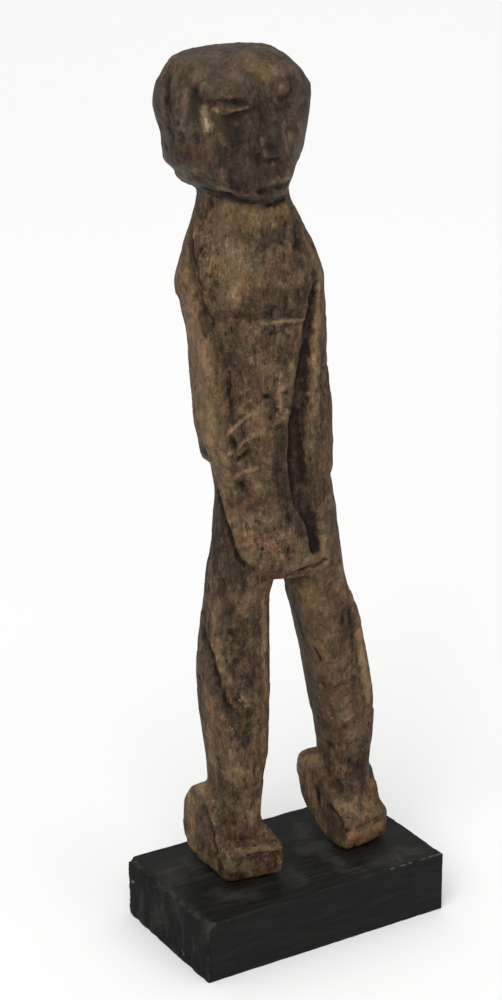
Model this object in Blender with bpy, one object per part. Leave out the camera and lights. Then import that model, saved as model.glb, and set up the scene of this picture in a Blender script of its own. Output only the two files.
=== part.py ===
"""Carved wooden double figure on a black wooden block.

The figure is one carving: a tapering trunk with the arms left on its flanks,
two separate legs, rounded feet, and a head that has a face on the front and
a plainer one on the back. +X is the picture's right along the block's long
side, the toes point to -Y, and the origin is the middle of the block's
underside.
"""
import bpy
import numpy as np

mm = 0.001

# The block.
blockLength = 78.0 * mm
blockDepth = 45.0 * mm
blockHeight = 18.0 * mm
blockEdge = 0.5 * mm            # soft edge all round
wornEdge = 2.0 * mm             # extra rounding of the left end's top edge
restingGap = 0.3 * mm           # air between the soles and the block

# The figure, from its soles to the crown. The tables below draw it in
# millimetres over its soles and are scaled together to this height.
figureHeight = 229.7 * mm

# Trunk stations: height, x, y, half width, half depth, turn in degrees.
trunkStations = (
    (86.3, -0.2, 5.0, 17.0, 9.6, -13),
    (89.1, -0.3, 5.0, 18.2, 11.2, -14),
    (94.7, -0.4, 5.0, 17.8, 11.8, -15),
    (103.1, -0.6, 5.0, 17.0, 12.2, -17),
    (109.7, -1.1, 5.0, 16.1, 12.4, -20),
    (116.7, -1.9, 5.0, 16.2, 12.5, -22),
    (131.7, -3.2, 5.0, 17.0, 12.6, -24),
    (142.7, -4.6, 5.0, 17.2, 12.7, -25),
    (153.7, -5.9, 5.0, 17.7, 12.9, -26),
    (163.7, -7.6, 5.0, 18.9, 13.2, -27),
    (169.7, -8.2, 5.0, 19.2, 13.3, -27),
    (176.7, -8.6, 5.0, 17.5, 13.0, -26),
    (184.7, -9.4, 5.0, 14.4, 12.2, -24),
    (190.7, -10.2, 5.0, 12.3, 11.4, -20),
    (198.7, -10.8, 5.0, 11.6, 11.0, -16),
)

# Leg stations: height, x, y, half width, half depth, turn in degrees.
rightLegStations = (
    (7.7, -14.2, 4.4, 6.9, 7.6, 0),
    (15.7, -14.2, 4.8, 6.8, 7.8, 0),
    (24.7, -13.6, 5.2, 7.0, 7.9, 0),
    (34.1, -13.0, 5.6, 8.1, 8.6, -2),
    (46.4, -13.1, 6.0, 8.9, 9.3, -4),
    (58.6, -13.3, 6.4, 9.5, 9.8, -6),
    (70.7, -12.5, 6.8, 9.0, 9.8, -9),
    (81.1, -11.4, 7.0, 8.3, 9.6, -12),
    (93.7, -10.2, 7.0, 7.6, 8.8, -14),
)
leftLegStations = (
    (7.7, 22.4, 4.2, 6.7, 7.2, 0),
    (15.7, 22.5, 4.4, 6.9, 7.4, 0),
    (24.7, 22.5, 4.6, 7.0, 7.3, 0),
    (34.1, 22.0, 4.4, 7.4, 7.7, -2),
    (46.4, 20.2, 4.0, 8.5, 8.9, -4),
    (58.6, 17.6, 3.6, 8.6, 9.2, -6),
    (70.7, 14.6, 3.2, 8.7, 9.5, -9),
    (81.1, 11.2, 2.8, 8.2, 9.3, -12),
    (93.7, 9.8, 3.0, 7.4, 8.6, -14),
)

# Foot profiles seen from the side: y and height of each corner, toe first.
rightFootProfile = (
    (-7.4, 0.0), (-2.0, 0.0), (9.5, 0.0), (15.0, 1.1), (18.8, 4.3),
    (19.8, 9.7), (18.9, 16.3), (15.0, 21.5), (8.0, 25.5), (1.0, 22.7),
    (-3.0, 14.7), (-5.0, 10.5), (-8.0, 8.9), (-8.6, 4.7),
)
leftFootProfile = (
    (-7.0, 0.9), (-4.6, 0.0), (1.0, 0.0), (6.4, 2.3), (12.6, 5.9),
    (16.2, 10.3), (17.8, 15.7), (16.9, 20.1), (10.0, 23.6), (2.0, 23.1),
    (-2.6, 15.1), (-4.8, 10.3), (-7.8, 8.5), (-8.4, 4.3),
)
footSides = {
    "right": (-14.8, 8.5, 2.4),   # middle, half width, rounding of the sides
    "left": (22.2, 8.4, 2.6),
}

# The head: its middle at the jaw, turn, sideways lean, then its stations
# over the jaw: height, half width, half depth, squareness.
headMiddle = (-12.1, 5.0)
headTurn = -1.0
headLean = 4.0
jawRise = 3.2                   # how much higher the jaw lies at the sides
headStations = (
    (-1.0, 7.0, 9.0, 1.9),
    (-0.8, 9.6, 13.6, 1.8),
    (0.0, 12.0, 16.8, 1.8),
    (3.0, 14.4, 18.4, 1.8),
    (6.4, 15.9, 18.6, 1.9),
    (11.6, 18.0, 18.0, 2.0),
    (16.9, 19.2, 16.9, 2.1),
    (21.2, 20.1, 15.9, 2.2),
    (25.2, 20.3, 15.2, 2.3),
    (28.6, 19.2, 14.9, 2.3),
    (31.8, 16.8, 13.4, 2.2),
    (34.6, 12.8, 10.6, 2.1),
    (36.4, 7.8, 6.8, 2.0),
    (37.2, 0.0, 0.0, 2.0),
)

# Heights over the soles that follow from the tables. The neck reaches a
# little way up into the head.
neckReach = 6.2
jawHeight = trunkStations[-1][0] - neckReach
drawnHeight = jawHeight + headStations[-1][0]
rightArmEnd = 0.520 * drawnHeight
leftArmEnd = 0.500 * drawnHeight
chestEdge = 0.708 * drawnHeight

# Mesh fineness.
trunkRows = 36
legRows = 20
legColumns = 18
headRows = 27
footRows = 9


def smoothTable(heights, table):
    """Each column of the table at the given heights: a cubic between
    neighbouring stations whose slope at a station is the mean of the two
    slopes beside it, and none where they disagree in sign."""
    table = np.asarray(table, float)
    z = table[:, 0]
    values = table[:, 1:]
    steps = np.diff(z)[:, None]
    slopes = np.diff(values, axis=0) / steps
    inner = 0.5 * (slopes[1:] + slopes[:-1])
    inner[slopes[1:] * slopes[:-1] <= 0.0] = 0.0
    slopeAt = np.vstack([slopes[:1], inner, slopes[-1:]])
    heights = np.clip(heights, z[0], z[-1])
    i = np.clip(np.searchsorted(z, heights, side="right") - 1, 0, len(z) - 2)
    t = ((heights - z[i]) / (z[i + 1] - z[i]))[:, None]
    step = steps[i]
    return ((1 + 2 * t) * (1 - t) ** 2 * values[i] + t * (1 - t) ** 2 * step * slopeAt[i]
            + t * t * (3 - 2 * t) * values[i + 1] - t * t * (1 - t) * step * slopeAt[i + 1])


def ease(low, high, x):
    """0 below low, 1 above high, and an S-shaped rise between them."""
    t = np.clip((x - low) / (high - low), 0.0, 1.0)
    return t * t * (3.0 - 2.0 * t)


def band(x, low, high, soft):
    """1 between low and high, falling to 0 over soft on both sides."""
    return ease(low - soft, low, x) * (1.0 - ease(high, high + soft, x))


def bump(x, middle, width):
    """A bell of height 1 and the given half width."""
    return np.exp(-((x - middle) / width) ** 2)


def superRadius(angle, halfWidth, halfDepth, power):
    """Distance from the middle to a superellipse's edge at an angle, where
    angle 0 looks along the depth and 90 degrees along the width."""
    across = np.abs(np.sin(angle) / halfWidth) ** power
    along = np.abs(np.cos(angle) / halfDepth) ** power
    return (across + along) ** (-1.0 / power)


def rightGrooveAngle(z):
    """Where the cut between chest and right arm runs, in degrees."""
    return np.interp(z, (128, 137, 147, 157, 165, 170, 178), (-47, -43, -45, -48, -54, -60, -72))


def leftTroughAngles(z):
    """The two edges of the broad trough before the left arm, in degrees."""
    heights = (90, 95, 102, 109, 122, 132, 142, 152, 163, 172)
    inner = np.interp(z, heights, (37, 31, 14, 8, 13, 21, 33, 44, 54, 66))
    outer = np.interp(z, heights, (43, 45, 44, 40, 35, 42, 50, 56, 64, 76))
    return inner, outer


def trunkRelief(angle, z):
    """How far the carving stands over the plain trunk, in millimetres.
    Angles are in degrees: 0 is the front, 90 the figure's left."""
    back = 180.0 - np.abs(angle)
    front = np.abs(angle)
    edge = chestEdge
    # The chest, and the plainer one behind, end in a low step.
    chest = 1.3 * ease(edge - 1.2, edge + 1.2, z) * (1.0 - ease(edge + 4, edge + 26, z))
    relief = chest * (1.0 - ease(44, 60, front) + 0.8 * (1.0 - ease(40, 58, back)))
    # The arms lie on the flanks and end in a ledge above the hips.
    rightArm = band(angle, -134, rightGrooveAngle(z) - 4, 5)
    leftArm = band(angle, leftTroughAngles(z)[1] + 3, 132, 5)
    rightHeights = (rightArmEnd - 1.2, rightArmEnd + 1.0, 132, 143, 154, 166)
    leftHeights = (leftArmEnd - 1.4, leftArmEnd + 1.4, 132, 147, 162, 172)
    rightProud = np.interp(z, rightHeights, (0, 2.4, 2.7, 2.1, 1.1, 0))
    leftProud = np.interp(z, leftHeights, (0, 0.7, 0.7, 0.6, 0.5, 0))
    relief = relief + rightArm * rightProud + leftArm * leftProud
    # The cut along the right arm and the trough along the left one.
    groove = bump(angle, rightGrooveAngle(z), 4.5) * band(z, 129, 172, 8)
    relief = relief - 1.3 * groove
    inner, outer = leftTroughAngles(z)
    trough = band(angle, inner + 2, outer - 2, 5) * band(z, 92, 168, 5)
    relief = relief - 2.4 * trough
    # Shallow cuts mark the arms on the plain side.
    plainCut = bump(back, 48, 5.0) * band(z, 124, 168, 8)
    relief = relief - 0.8 * plainCut
    # A nub on the right shoulder, and the navel.
    nub = ease(edge - 0.6, edge + 1.0, z) * (1.0 - ease(edge + 3, edge + 10, z))
    relief = relief + 0.9 * bump(angle, -98, 26) * nub
    # The right hand turns in over the belly as a low pad.
    hand = band(angle, -44, -14, 8) * band(z - 0.18 * angle, 128, 139, 2.5)
    relief = relief + 0.6 * hand
    return relief - 0.7 * bump(angle, 3, 6) * bump(z, 139.2, 2.0)


def trunkAngles(z):
    """Angles of the mesh columns at each height. Set columns follow the
    cuts beside the arms, so that their edges stay clean lines."""
    groove = rightGrooveAngle(z)
    inner, outer = leftTroughAngles(z)
    one = np.ones_like(z)
    knots = np.stack([-180 * one, -137 * one, -127 * one, -92 * one, groove - 6, groove, groove + 6, 0 * one,
                      inner - 2, inner + 3, outer - 3, outer + 3, 92 * one, 127 * one, 137 * one, 180 * one], 1)
    columns = np.array([0, 7, 9, 14, 19, 20, 21, 27, 32, 33, 35, 37, 42, 46, 48, 55])
    wanted = np.arange(columns[-1])
    return np.stack([np.interp(wanted, columns, row) for row in knots])


def trunkPoints():
    """Rings of the trunk: a superellipse plus the carving's relief."""
    keyed = [rightArmEnd - 1.2, rightArmEnd + 1.0, chestEdge - 1.2, chestEdge + 1.2]
    spread = np.linspace(trunkStations[0][0], trunkStations[-1][0], trunkRows)
    clear = [h for h in spread if min(abs(h - k) for k in keyed) > 1.1]
    z = np.sort(np.array(clear + keyed))
    x, y, halfWidth, halfDepth, turn = [column[:, None] for column in smoothTable(z, trunkStations).T]
    degrees = trunkAngles(z)
    angle = np.radians(degrees)
    radius = superRadius(angle, halfWidth, halfDepth, 2.25) + trunkRelief(degrees, z[:, None])
    turn = np.radians(turn)
    across = radius * np.sin(angle)
    along = -radius * np.cos(angle)
    px = x + across * np.cos(turn) - along * np.sin(turn)
    py = y + across * np.sin(turn) + along * np.cos(turn)
    return np.stack([px, py, np.broadcast_to(z[:, None], px.shape)], -1)


def legPoints(stations, outward):
    """Rings of a leg: a squarish superellipse with a low ridge down its
    outer front corner; outward is -1 for the right leg and 1 for the left."""
    z = np.linspace(stations[0][0], stations[-1][0], legRows)
    x, y, halfWidth, halfDepth, turn = [column[:, None] for column in smoothTable(z, stations).T]
    angle = np.linspace(0, 2 * np.pi, legColumns, endpoint=False)[None, :] + 0 * x
    degrees = (np.degrees(angle) + 180) % 360 - 180
    radius = superRadius(angle, halfWidth, halfDepth, 2.7)
    ridge = bump(degrees * outward, 48, 18) * band(z[:, None], 37, 74, 14)
    radius = radius + 0.5 * ridge
    turn = np.radians(turn)
    across = radius * np.sin(angle)
    along = -radius * np.cos(angle)
    px = x + across * np.cos(turn) - along * np.sin(turn)
    py = y + across * np.sin(turn) + along * np.cos(turn)
    return np.stack([px, py, np.broadcast_to(z[:, None], px.shape)], -1)


def footPoints(profile, side):
    """A foot as its side profile carried across its width, drawn in towards
    the profile's middle near both sides so that they are rounded."""
    middle, halfWidth, rounding = footSides[side]
    profile = np.asarray(profile, float)
    following = np.roll(profile, -1, 0)
    ring = np.stack([0.85 * profile + 0.15 * following, 0.15 * profile + 0.85 * following], 1).reshape(-1, 2)
    centre = ring.mean(0)
    across = np.sin(np.linspace(-np.pi / 2, np.pi / 2, footRows)) * halfWidth
    inset = rounding * (1 - np.sqrt(1 - np.clip((np.abs(across) - halfWidth + rounding) / rounding, 0, 1) ** 2))
    reach = np.linalg.norm(ring - centre, axis=1)
    shrink = 1 - 0.8 * inset[:, None] / reach[None, :]
    yz = centre + (ring - centre)[None] * shrink[..., None]
    yz[..., 1] = np.maximum(yz[..., 1], 0.0)
    px = np.broadcast_to((middle + across)[:, None], yz.shape[:2])
    return np.stack([px, yz[..., 0], yz[..., 1]], -1)


def headRelief(across, height, strength):
    """The face's relief in millimetres, over the jaw and across the face:
    a brow over two sunk eyes with almond bumps, a wedge nose, a mouth."""
    side = np.abs(across)
    hollow = bump(side, 8.2, 5.4) * bump(height, 25.4, 3.0)
    almond = bump(side, 7.9, 4.4) * bump(height, 26.2, 1.6)
    brow = bump(height, 30.2, 2.2) * (1 - ease(11, 17, side))
    noseWidth = 1.6 + 1.9 * (1 - ease(12, 25, height))
    wedge = (1 - ease(noseWidth * 0.6, noseWidth * 1.6, side)) * band(height, 11.6, 24.5, 1.2)
    noseHeight = 0.9 + 2.9 * (1 - ease(12, 25, height))
    muzzle = bump(height, 5.4, 4.8) * (1 - ease(5, 12, side))
    slit = bump(height, 4.8, 0.9) * (1 - ease(3.6, 5.4, side))
    relief = 1.6 * almond - 1.3 * hollow + 0.7 * brow + noseHeight * wedge + 1.2 * muzzle - 1.2 * slit
    return strength * relief


def headPoints():
    """Rings of the head: superellipses, the two faces, and the ear strips."""
    stations = np.asarray(headStations)
    share = np.linspace(0, 1, headRows)
    height = np.interp(share, (0, 0.08, 0.16, 0.84, 1), (stations[0][0], -0.5, 1.2, 32.6, stations[-1][0]))
    halfWidth, halfDepth, power = [column[:, None] for column in smoothTable(height, stations).T]
    halfWidth = np.maximum(halfWidth, 0.05)
    halfDepth = np.maximum(halfDepth, 0.05)
    knots = (-180, -140, -90, -40, 0, 40, 90, 140, 180)
    columns = (0, 7, 12, 19, 26, 33, 40, 45, 52)
    degrees = np.interp(np.arange(columns[-1]), columns, knots)[None, :] + 0 * halfWidth
    angle = np.radians(degrees)
    radius = superRadius(angle, halfWidth, halfDepth, power)
    lateral = radius * np.sin(angle)
    tall = height[:, None] + 0 * radius
    facing = ease(-0.1, 0.5, np.cos(angle))
    behind = ease(-0.1, 0.5, -np.cos(angle))
    relief = headRelief(lateral, tall, 1.0) * facing + headRelief(lateral, tall, 0.75) * behind
    ear = bump(np.abs(degrees), 76, 7) - 0.8 * bump(np.abs(degrees), 62, 5) - 0.8 * bump(np.abs(degrees), 91, 5)
    relief = relief + 0.8 * ear * band(tall, 15, 28, 3)
    radius = radius + relief * (1 - ease(31, 34.5, tall)) * ease(-1.0, 1.5, tall)
    tall = tall + jawRise * np.sin(angle) ** 2 * (1 - ease(1, 13, tall))
    turn = np.radians(headTurn)
    lean = np.radians(headLean)
    across = radius * np.sin(angle)
    along = -radius * np.cos(angle)
    leanAcross = across * np.cos(lean) - tall * np.sin(lean)
    leanUp = across * np.sin(lean) + tall * np.cos(lean)
    px = headMiddle[0] + leanAcross * np.cos(turn) - along * np.sin(turn)
    py = headMiddle[1] + leanAcross * np.sin(turn) + along * np.cos(turn)
    return np.stack([px, py, jawHeight + leanUp], -1)


def closedMesh(name, rings):
    """A closed mesh from rings of equal size, bottom to top, drawn in
    millimetres over the soles and stood on the block at the figure's height.
    Each end is closed by a fan to the ring's own middle."""
    rows, columns = rings.shape[:2]
    points = np.vstack([rings.reshape(-1, 3), rings[0].mean(0), rings[-1].mean(0)])
    points = points * figureHeight / drawnHeight
    points[:, 2] += blockHeight + restingGap
    i = np.arange(columns)
    j = (i + 1) % columns
    low = (np.arange(rows - 1) * columns)[:, None]
    quads = np.stack([low + i, low + j, low + columns + j, low + columns + i], -1).reshape(-1, 4)
    start = rows * columns
    top = (rows - 1) * columns
    bottomFan = np.stack([j, i, np.full(columns, start)], -1)
    topFan = np.stack([top + i, top + j, np.full(columns, start + 1)], -1)
    mesh = bpy.data.meshes.new(name)
    mesh.from_pydata(points.tolist(), [], quads.tolist() + bottomFan.tolist() + topFan.tolist())
    mesh.shade_smooth()
    mesh.set_sharp_from_angle(angle=np.radians(35))
    item = bpy.data.objects.new(name, mesh)
    bpy.context.scene.collection.objects.link(item)
    return item


def material(name, colour, roughness):
    """A plain Principled material."""
    made = bpy.data.materials.new(name)
    made.use_nodes = True
    shader = made.node_tree.nodes["Principled BSDF"]
    shader.inputs["Base Color"].default_value = (*colour, 1.0)
    shader.inputs["Roughness"].default_value = roughness
    shader.inputs["Metallic"].default_value = 0.0
    return made


def makeFigure():
    """The carving: trunk, head, legs and feet joined into one body."""
    figure = closedMesh("figure", trunkPoints())
    joined = {
        "guideHead": headPoints(),
        "guideRightLeg": legPoints(rightLegStations, -1),
        "guideLeftLeg": legPoints(leftLegStations, 1),
        "guideRightFoot": footPoints(rightFootProfile, "right"),
        "guideLeftFoot": footPoints(leftFootProfile, "left"),
    }
    for name, rings in joined.items():
        guide = closedMesh(name, rings)
        guide.hide_render = True
        guide.display_type = "WIRE"
        union = figure.modifiers.new(name, "BOOLEAN")
        union.operation = "UNION"
        union.solver = "EXACT"
        union.object = guide
    figure.data.materials.append(material("carvedWood", (0.16, 0.10, 0.062), 0.62))


def makeBlock():
    """The block: a box with soft edges and a worn top edge on its left end."""
    x = blockLength / 2
    y = blockDepth / 2
    corners = [(sx * x, sy * y, z) for z in (0.0, blockHeight) for sx, sy in ((-1, -1), (1, -1), (1, 1), (-1, 1))]
    faces = [(3, 2, 1, 0), (4, 5, 6, 7), (0, 1, 5, 4), (1, 2, 6, 5), (2, 3, 7, 6), (3, 0, 4, 7)]
    mesh = bpy.data.meshes.new("plinth")
    mesh.from_pydata(corners, [], faces)
    weights = mesh.attributes.new("bevel_weight_edge", "FLOAT", "EDGE")
    for edge in mesh.edges:
        worn = set(edge.vertices) in ({4, 7}, {0, 4})
        weights.data[edge.index].value = 1.0 if worn else blockEdge / wornEdge
    block = bpy.data.objects.new("plinth", mesh)
    bpy.context.scene.collection.objects.link(block)
    bevel = block.modifiers.new("soft edges", "BEVEL")
    bevel.limit_method = "WEIGHT"
    bevel.width = wornEdge
    bevel.segments = 3
    block.data.materials.append(material("blackPaintedWood", (0.018, 0.017, 0.016), 0.5))


for item in list(bpy.data.objects):
    bpy.data.objects.remove(item)
makeFigure()
makeBlock()
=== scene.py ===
import bpy
import numpy as np
from mathutils import Matrix, Vector
from mathutils.bvhtree import BVHTree
from math import radians


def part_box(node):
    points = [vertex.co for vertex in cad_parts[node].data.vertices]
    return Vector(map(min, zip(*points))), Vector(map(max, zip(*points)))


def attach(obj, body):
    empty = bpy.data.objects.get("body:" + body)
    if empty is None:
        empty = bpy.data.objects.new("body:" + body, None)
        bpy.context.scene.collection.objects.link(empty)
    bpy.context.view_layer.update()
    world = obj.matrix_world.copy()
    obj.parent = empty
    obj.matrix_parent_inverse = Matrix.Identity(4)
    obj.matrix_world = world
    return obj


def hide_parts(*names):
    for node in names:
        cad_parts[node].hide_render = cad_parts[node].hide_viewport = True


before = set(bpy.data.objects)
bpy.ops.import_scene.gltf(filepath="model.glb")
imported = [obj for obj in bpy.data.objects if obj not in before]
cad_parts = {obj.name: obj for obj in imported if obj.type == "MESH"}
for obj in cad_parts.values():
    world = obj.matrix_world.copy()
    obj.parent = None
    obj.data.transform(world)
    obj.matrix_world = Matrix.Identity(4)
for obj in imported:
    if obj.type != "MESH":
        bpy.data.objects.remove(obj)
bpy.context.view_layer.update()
print("frame loaded")

mm = 0.001                       # a millimetre, in metres
noiseCells = 32                  # cells of a noise before it repeats
ragSizes = (2.6, 0.9)            # sizes of the noises that make marks ragged

# The carved figure: x, y and height over its soles, all in millimetres.
figure = {
    "overFloor": 18.3,           # the soles over the floor
    "voxel": 0.618,              # size of a mesh cell
    "evenOut": (0.5, -0.35),     # shares of the way to the neighbours' mean
    "boxMargin": 0.05,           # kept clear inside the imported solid's box
    "rightArmEnd": 119.4,
    "leftArmEnd": 114.9,
    "chestEdge": 162.6,
    "jaw": 192.5,
    # rows and columns of each body's rings, and how square the rings are
    "trunkRings": (260, 300),
    "legRings": (150, 120),
    "headRings": (150, 360),
    "footSlices": 41,
    "trunkPower": 2.25,
    "legPower": 2.7,
    # ridge down a leg: how proud, its middle and half width in degrees
    "legRidge": (0.5, 48, 16),
    # height, x, y, half width, half depth, turn in degrees
    "trunk": (
        (86.3, -0.2, 5, 17, 9.6, -13), (89.1, -0.3, 5, 18.2, 11.2, -14), (94.7, -0.4, 5, 17.8, 11.8, -15),
        (103.1, -0.6, 5, 17, 12.2, -17), (109.7, -1.1, 5, 16.1, 12.4, -20), (116.7, -1.9, 5, 16.2, 12.5, -22),
        (131.7, -3.2, 5, 17, 12.6, -24), (142.7, -4.6, 5, 17.2, 12.7, -25), (153.7, -5.9, 5, 17.7, 12.9, -26),
        (163.7, -7.6, 5, 18.9, 13.2, -27), (169.7, -8.2, 5, 19.2, 13.3, -27), (176.7, -8.6, 5, 17.5, 13, -26),
        (184.7, -9.4, 5, 14.4, 12.2, -24), (190.7, -10.2, 5, 12.3, 11.4, -20),
        (198.7, -10.8, 5, 11.6, 11, -16),
    ),
    "rightLeg": (
        (7.7, -14.2, 4.4, 6.9, 7.6, 0), (15.7, -14.2, 4.8, 6.8, 7.8, 0), (24.7, -13.6, 5.2, 7, 7.9, 0),
        (34.1, -13, 5.6, 8.1, 8.6, -2), (46.4, -13.3, 6, 9.1, 9.3, -4), (58.6, -13.4, 6.4, 9.6, 9.8, -6),
        (70.7, -12.5, 6.8, 9, 9.8, -9), (81.1, -11.4, 7, 8.3, 9.6, -12), (85.2, -10.7, 7, 9, 9.5, -13),
        (93.7, -10.2, 7, 7.6, 8.8, -14),
    ),
    "leftLeg": (
        (7.7, 22.4, 4.2, 6.7, 7.2, 0), (15.7, 22.5, 4.4, 6.9, 7.4, 0), (24.7, 22.5, 4.6, 7, 7.3, 0),
        (34.1, 21.9, 4.4, 7.6, 7.7, -2), (46.4, 20.1, 4, 8.7, 8.9, -4), (58.6, 17.6, 3.6, 8.6, 9.2, -6),
        (70.7, 14.6, 3.2, 8.7, 9.5, -9), (81.1, 11.2, 2.8, 8.2, 9.3, -12), (93.7, 9.8, 3, 7.4, 8.6, -14),
    ),
    # foot seen from the side: y and height of each corner
    "rightFoot": (
        (-7.6, 0), (-2, 0), (9.5, 0), (15, 1.1), (18.8, 4.3), (19.8, 9.7), (18.9, 16.3), (15, 21.5),
        (8, 25.5), (4.2, 18.4), (1.4, 12.6), (-3, 11), (-8.3, 9.6), (-9.2, 8.6), (-8.6, 7.4), (-8.8, 4),
    ),
    "leftFoot": (
        (-8, 0.7), (-5.2, 0), (1, 0), (6.4, 2.3), (12.6, 5.9), (16.2, 10.3), (17.9, 16), (17.6, 21.2),
        (15, 23.2), (8, 23.8), (1, 20.6), (-3.4, 14.6), (-5.2, 11), (-8.2, 9.4), (-9.1, 8.4), (-8.6, 4),
    ),
    # middle, half width, rounding, slant of the toes
    "rightFootSides": (-14.8, 8.5, 2.0, -1.7),
    "leftFootSides": (22.4, 8.6, 3.2, 1.4),
    # the head's middle, its turn and lean in degrees, rise of the jaw at the sides
    "headMiddle": (-11.8, 5.0),
    "headTurn": -1.0,
    "headLean": 4.0,
    "jawRise": 3.2,
    # height over the jaw, half width, half depth, squareness, shift sideways
    "head": (
        (-1, 7, 9, 1.9, -0.3), (-0.8, 9.2, 13.4, 1.8, -0.3), (0, 11.6, 16.6, 1.8, -0.5),
        (2.5, 14.2, 18.1, 1.8, -1), (4.6, 15, 18.4, 1.85, -0.7), (8.6, 17.4, 18.4, 2, -0.8),
        (11.6, 18.3, 18, 2, -0.5), (16.9, 19.3, 16.9, 2.1, 0.2), (21.2, 20.5, 15.9, 2.2, 0.35),
        (24.4, 20.9, 15.3, 2.3, 0.4), (28.6, 19.4, 14.9, 2.3, -0.3), (31.8, 17.4, 13.5, 2.2, -0.8),
        (34.6, 14.9, 11.4, 2.1, -1.6), (36.4, 11.2, 8.4, 2, -2.2), (37.4, 0, 0, 2, -2.5),
    ),
}

# The camera: its place, its view direction and a small roll in degrees. The
# photo it matches is 502 by 1000 pixels.
camera = {
    "place": (-0.3119, -0.4954, 0.3337),
    "direction": (0.489, 0.8055, -0.3348),
    "roll": -0.2,
    "lens": 82.8,
    "sensor": 36.0,
    "photo": (502, 1000),
}

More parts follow.
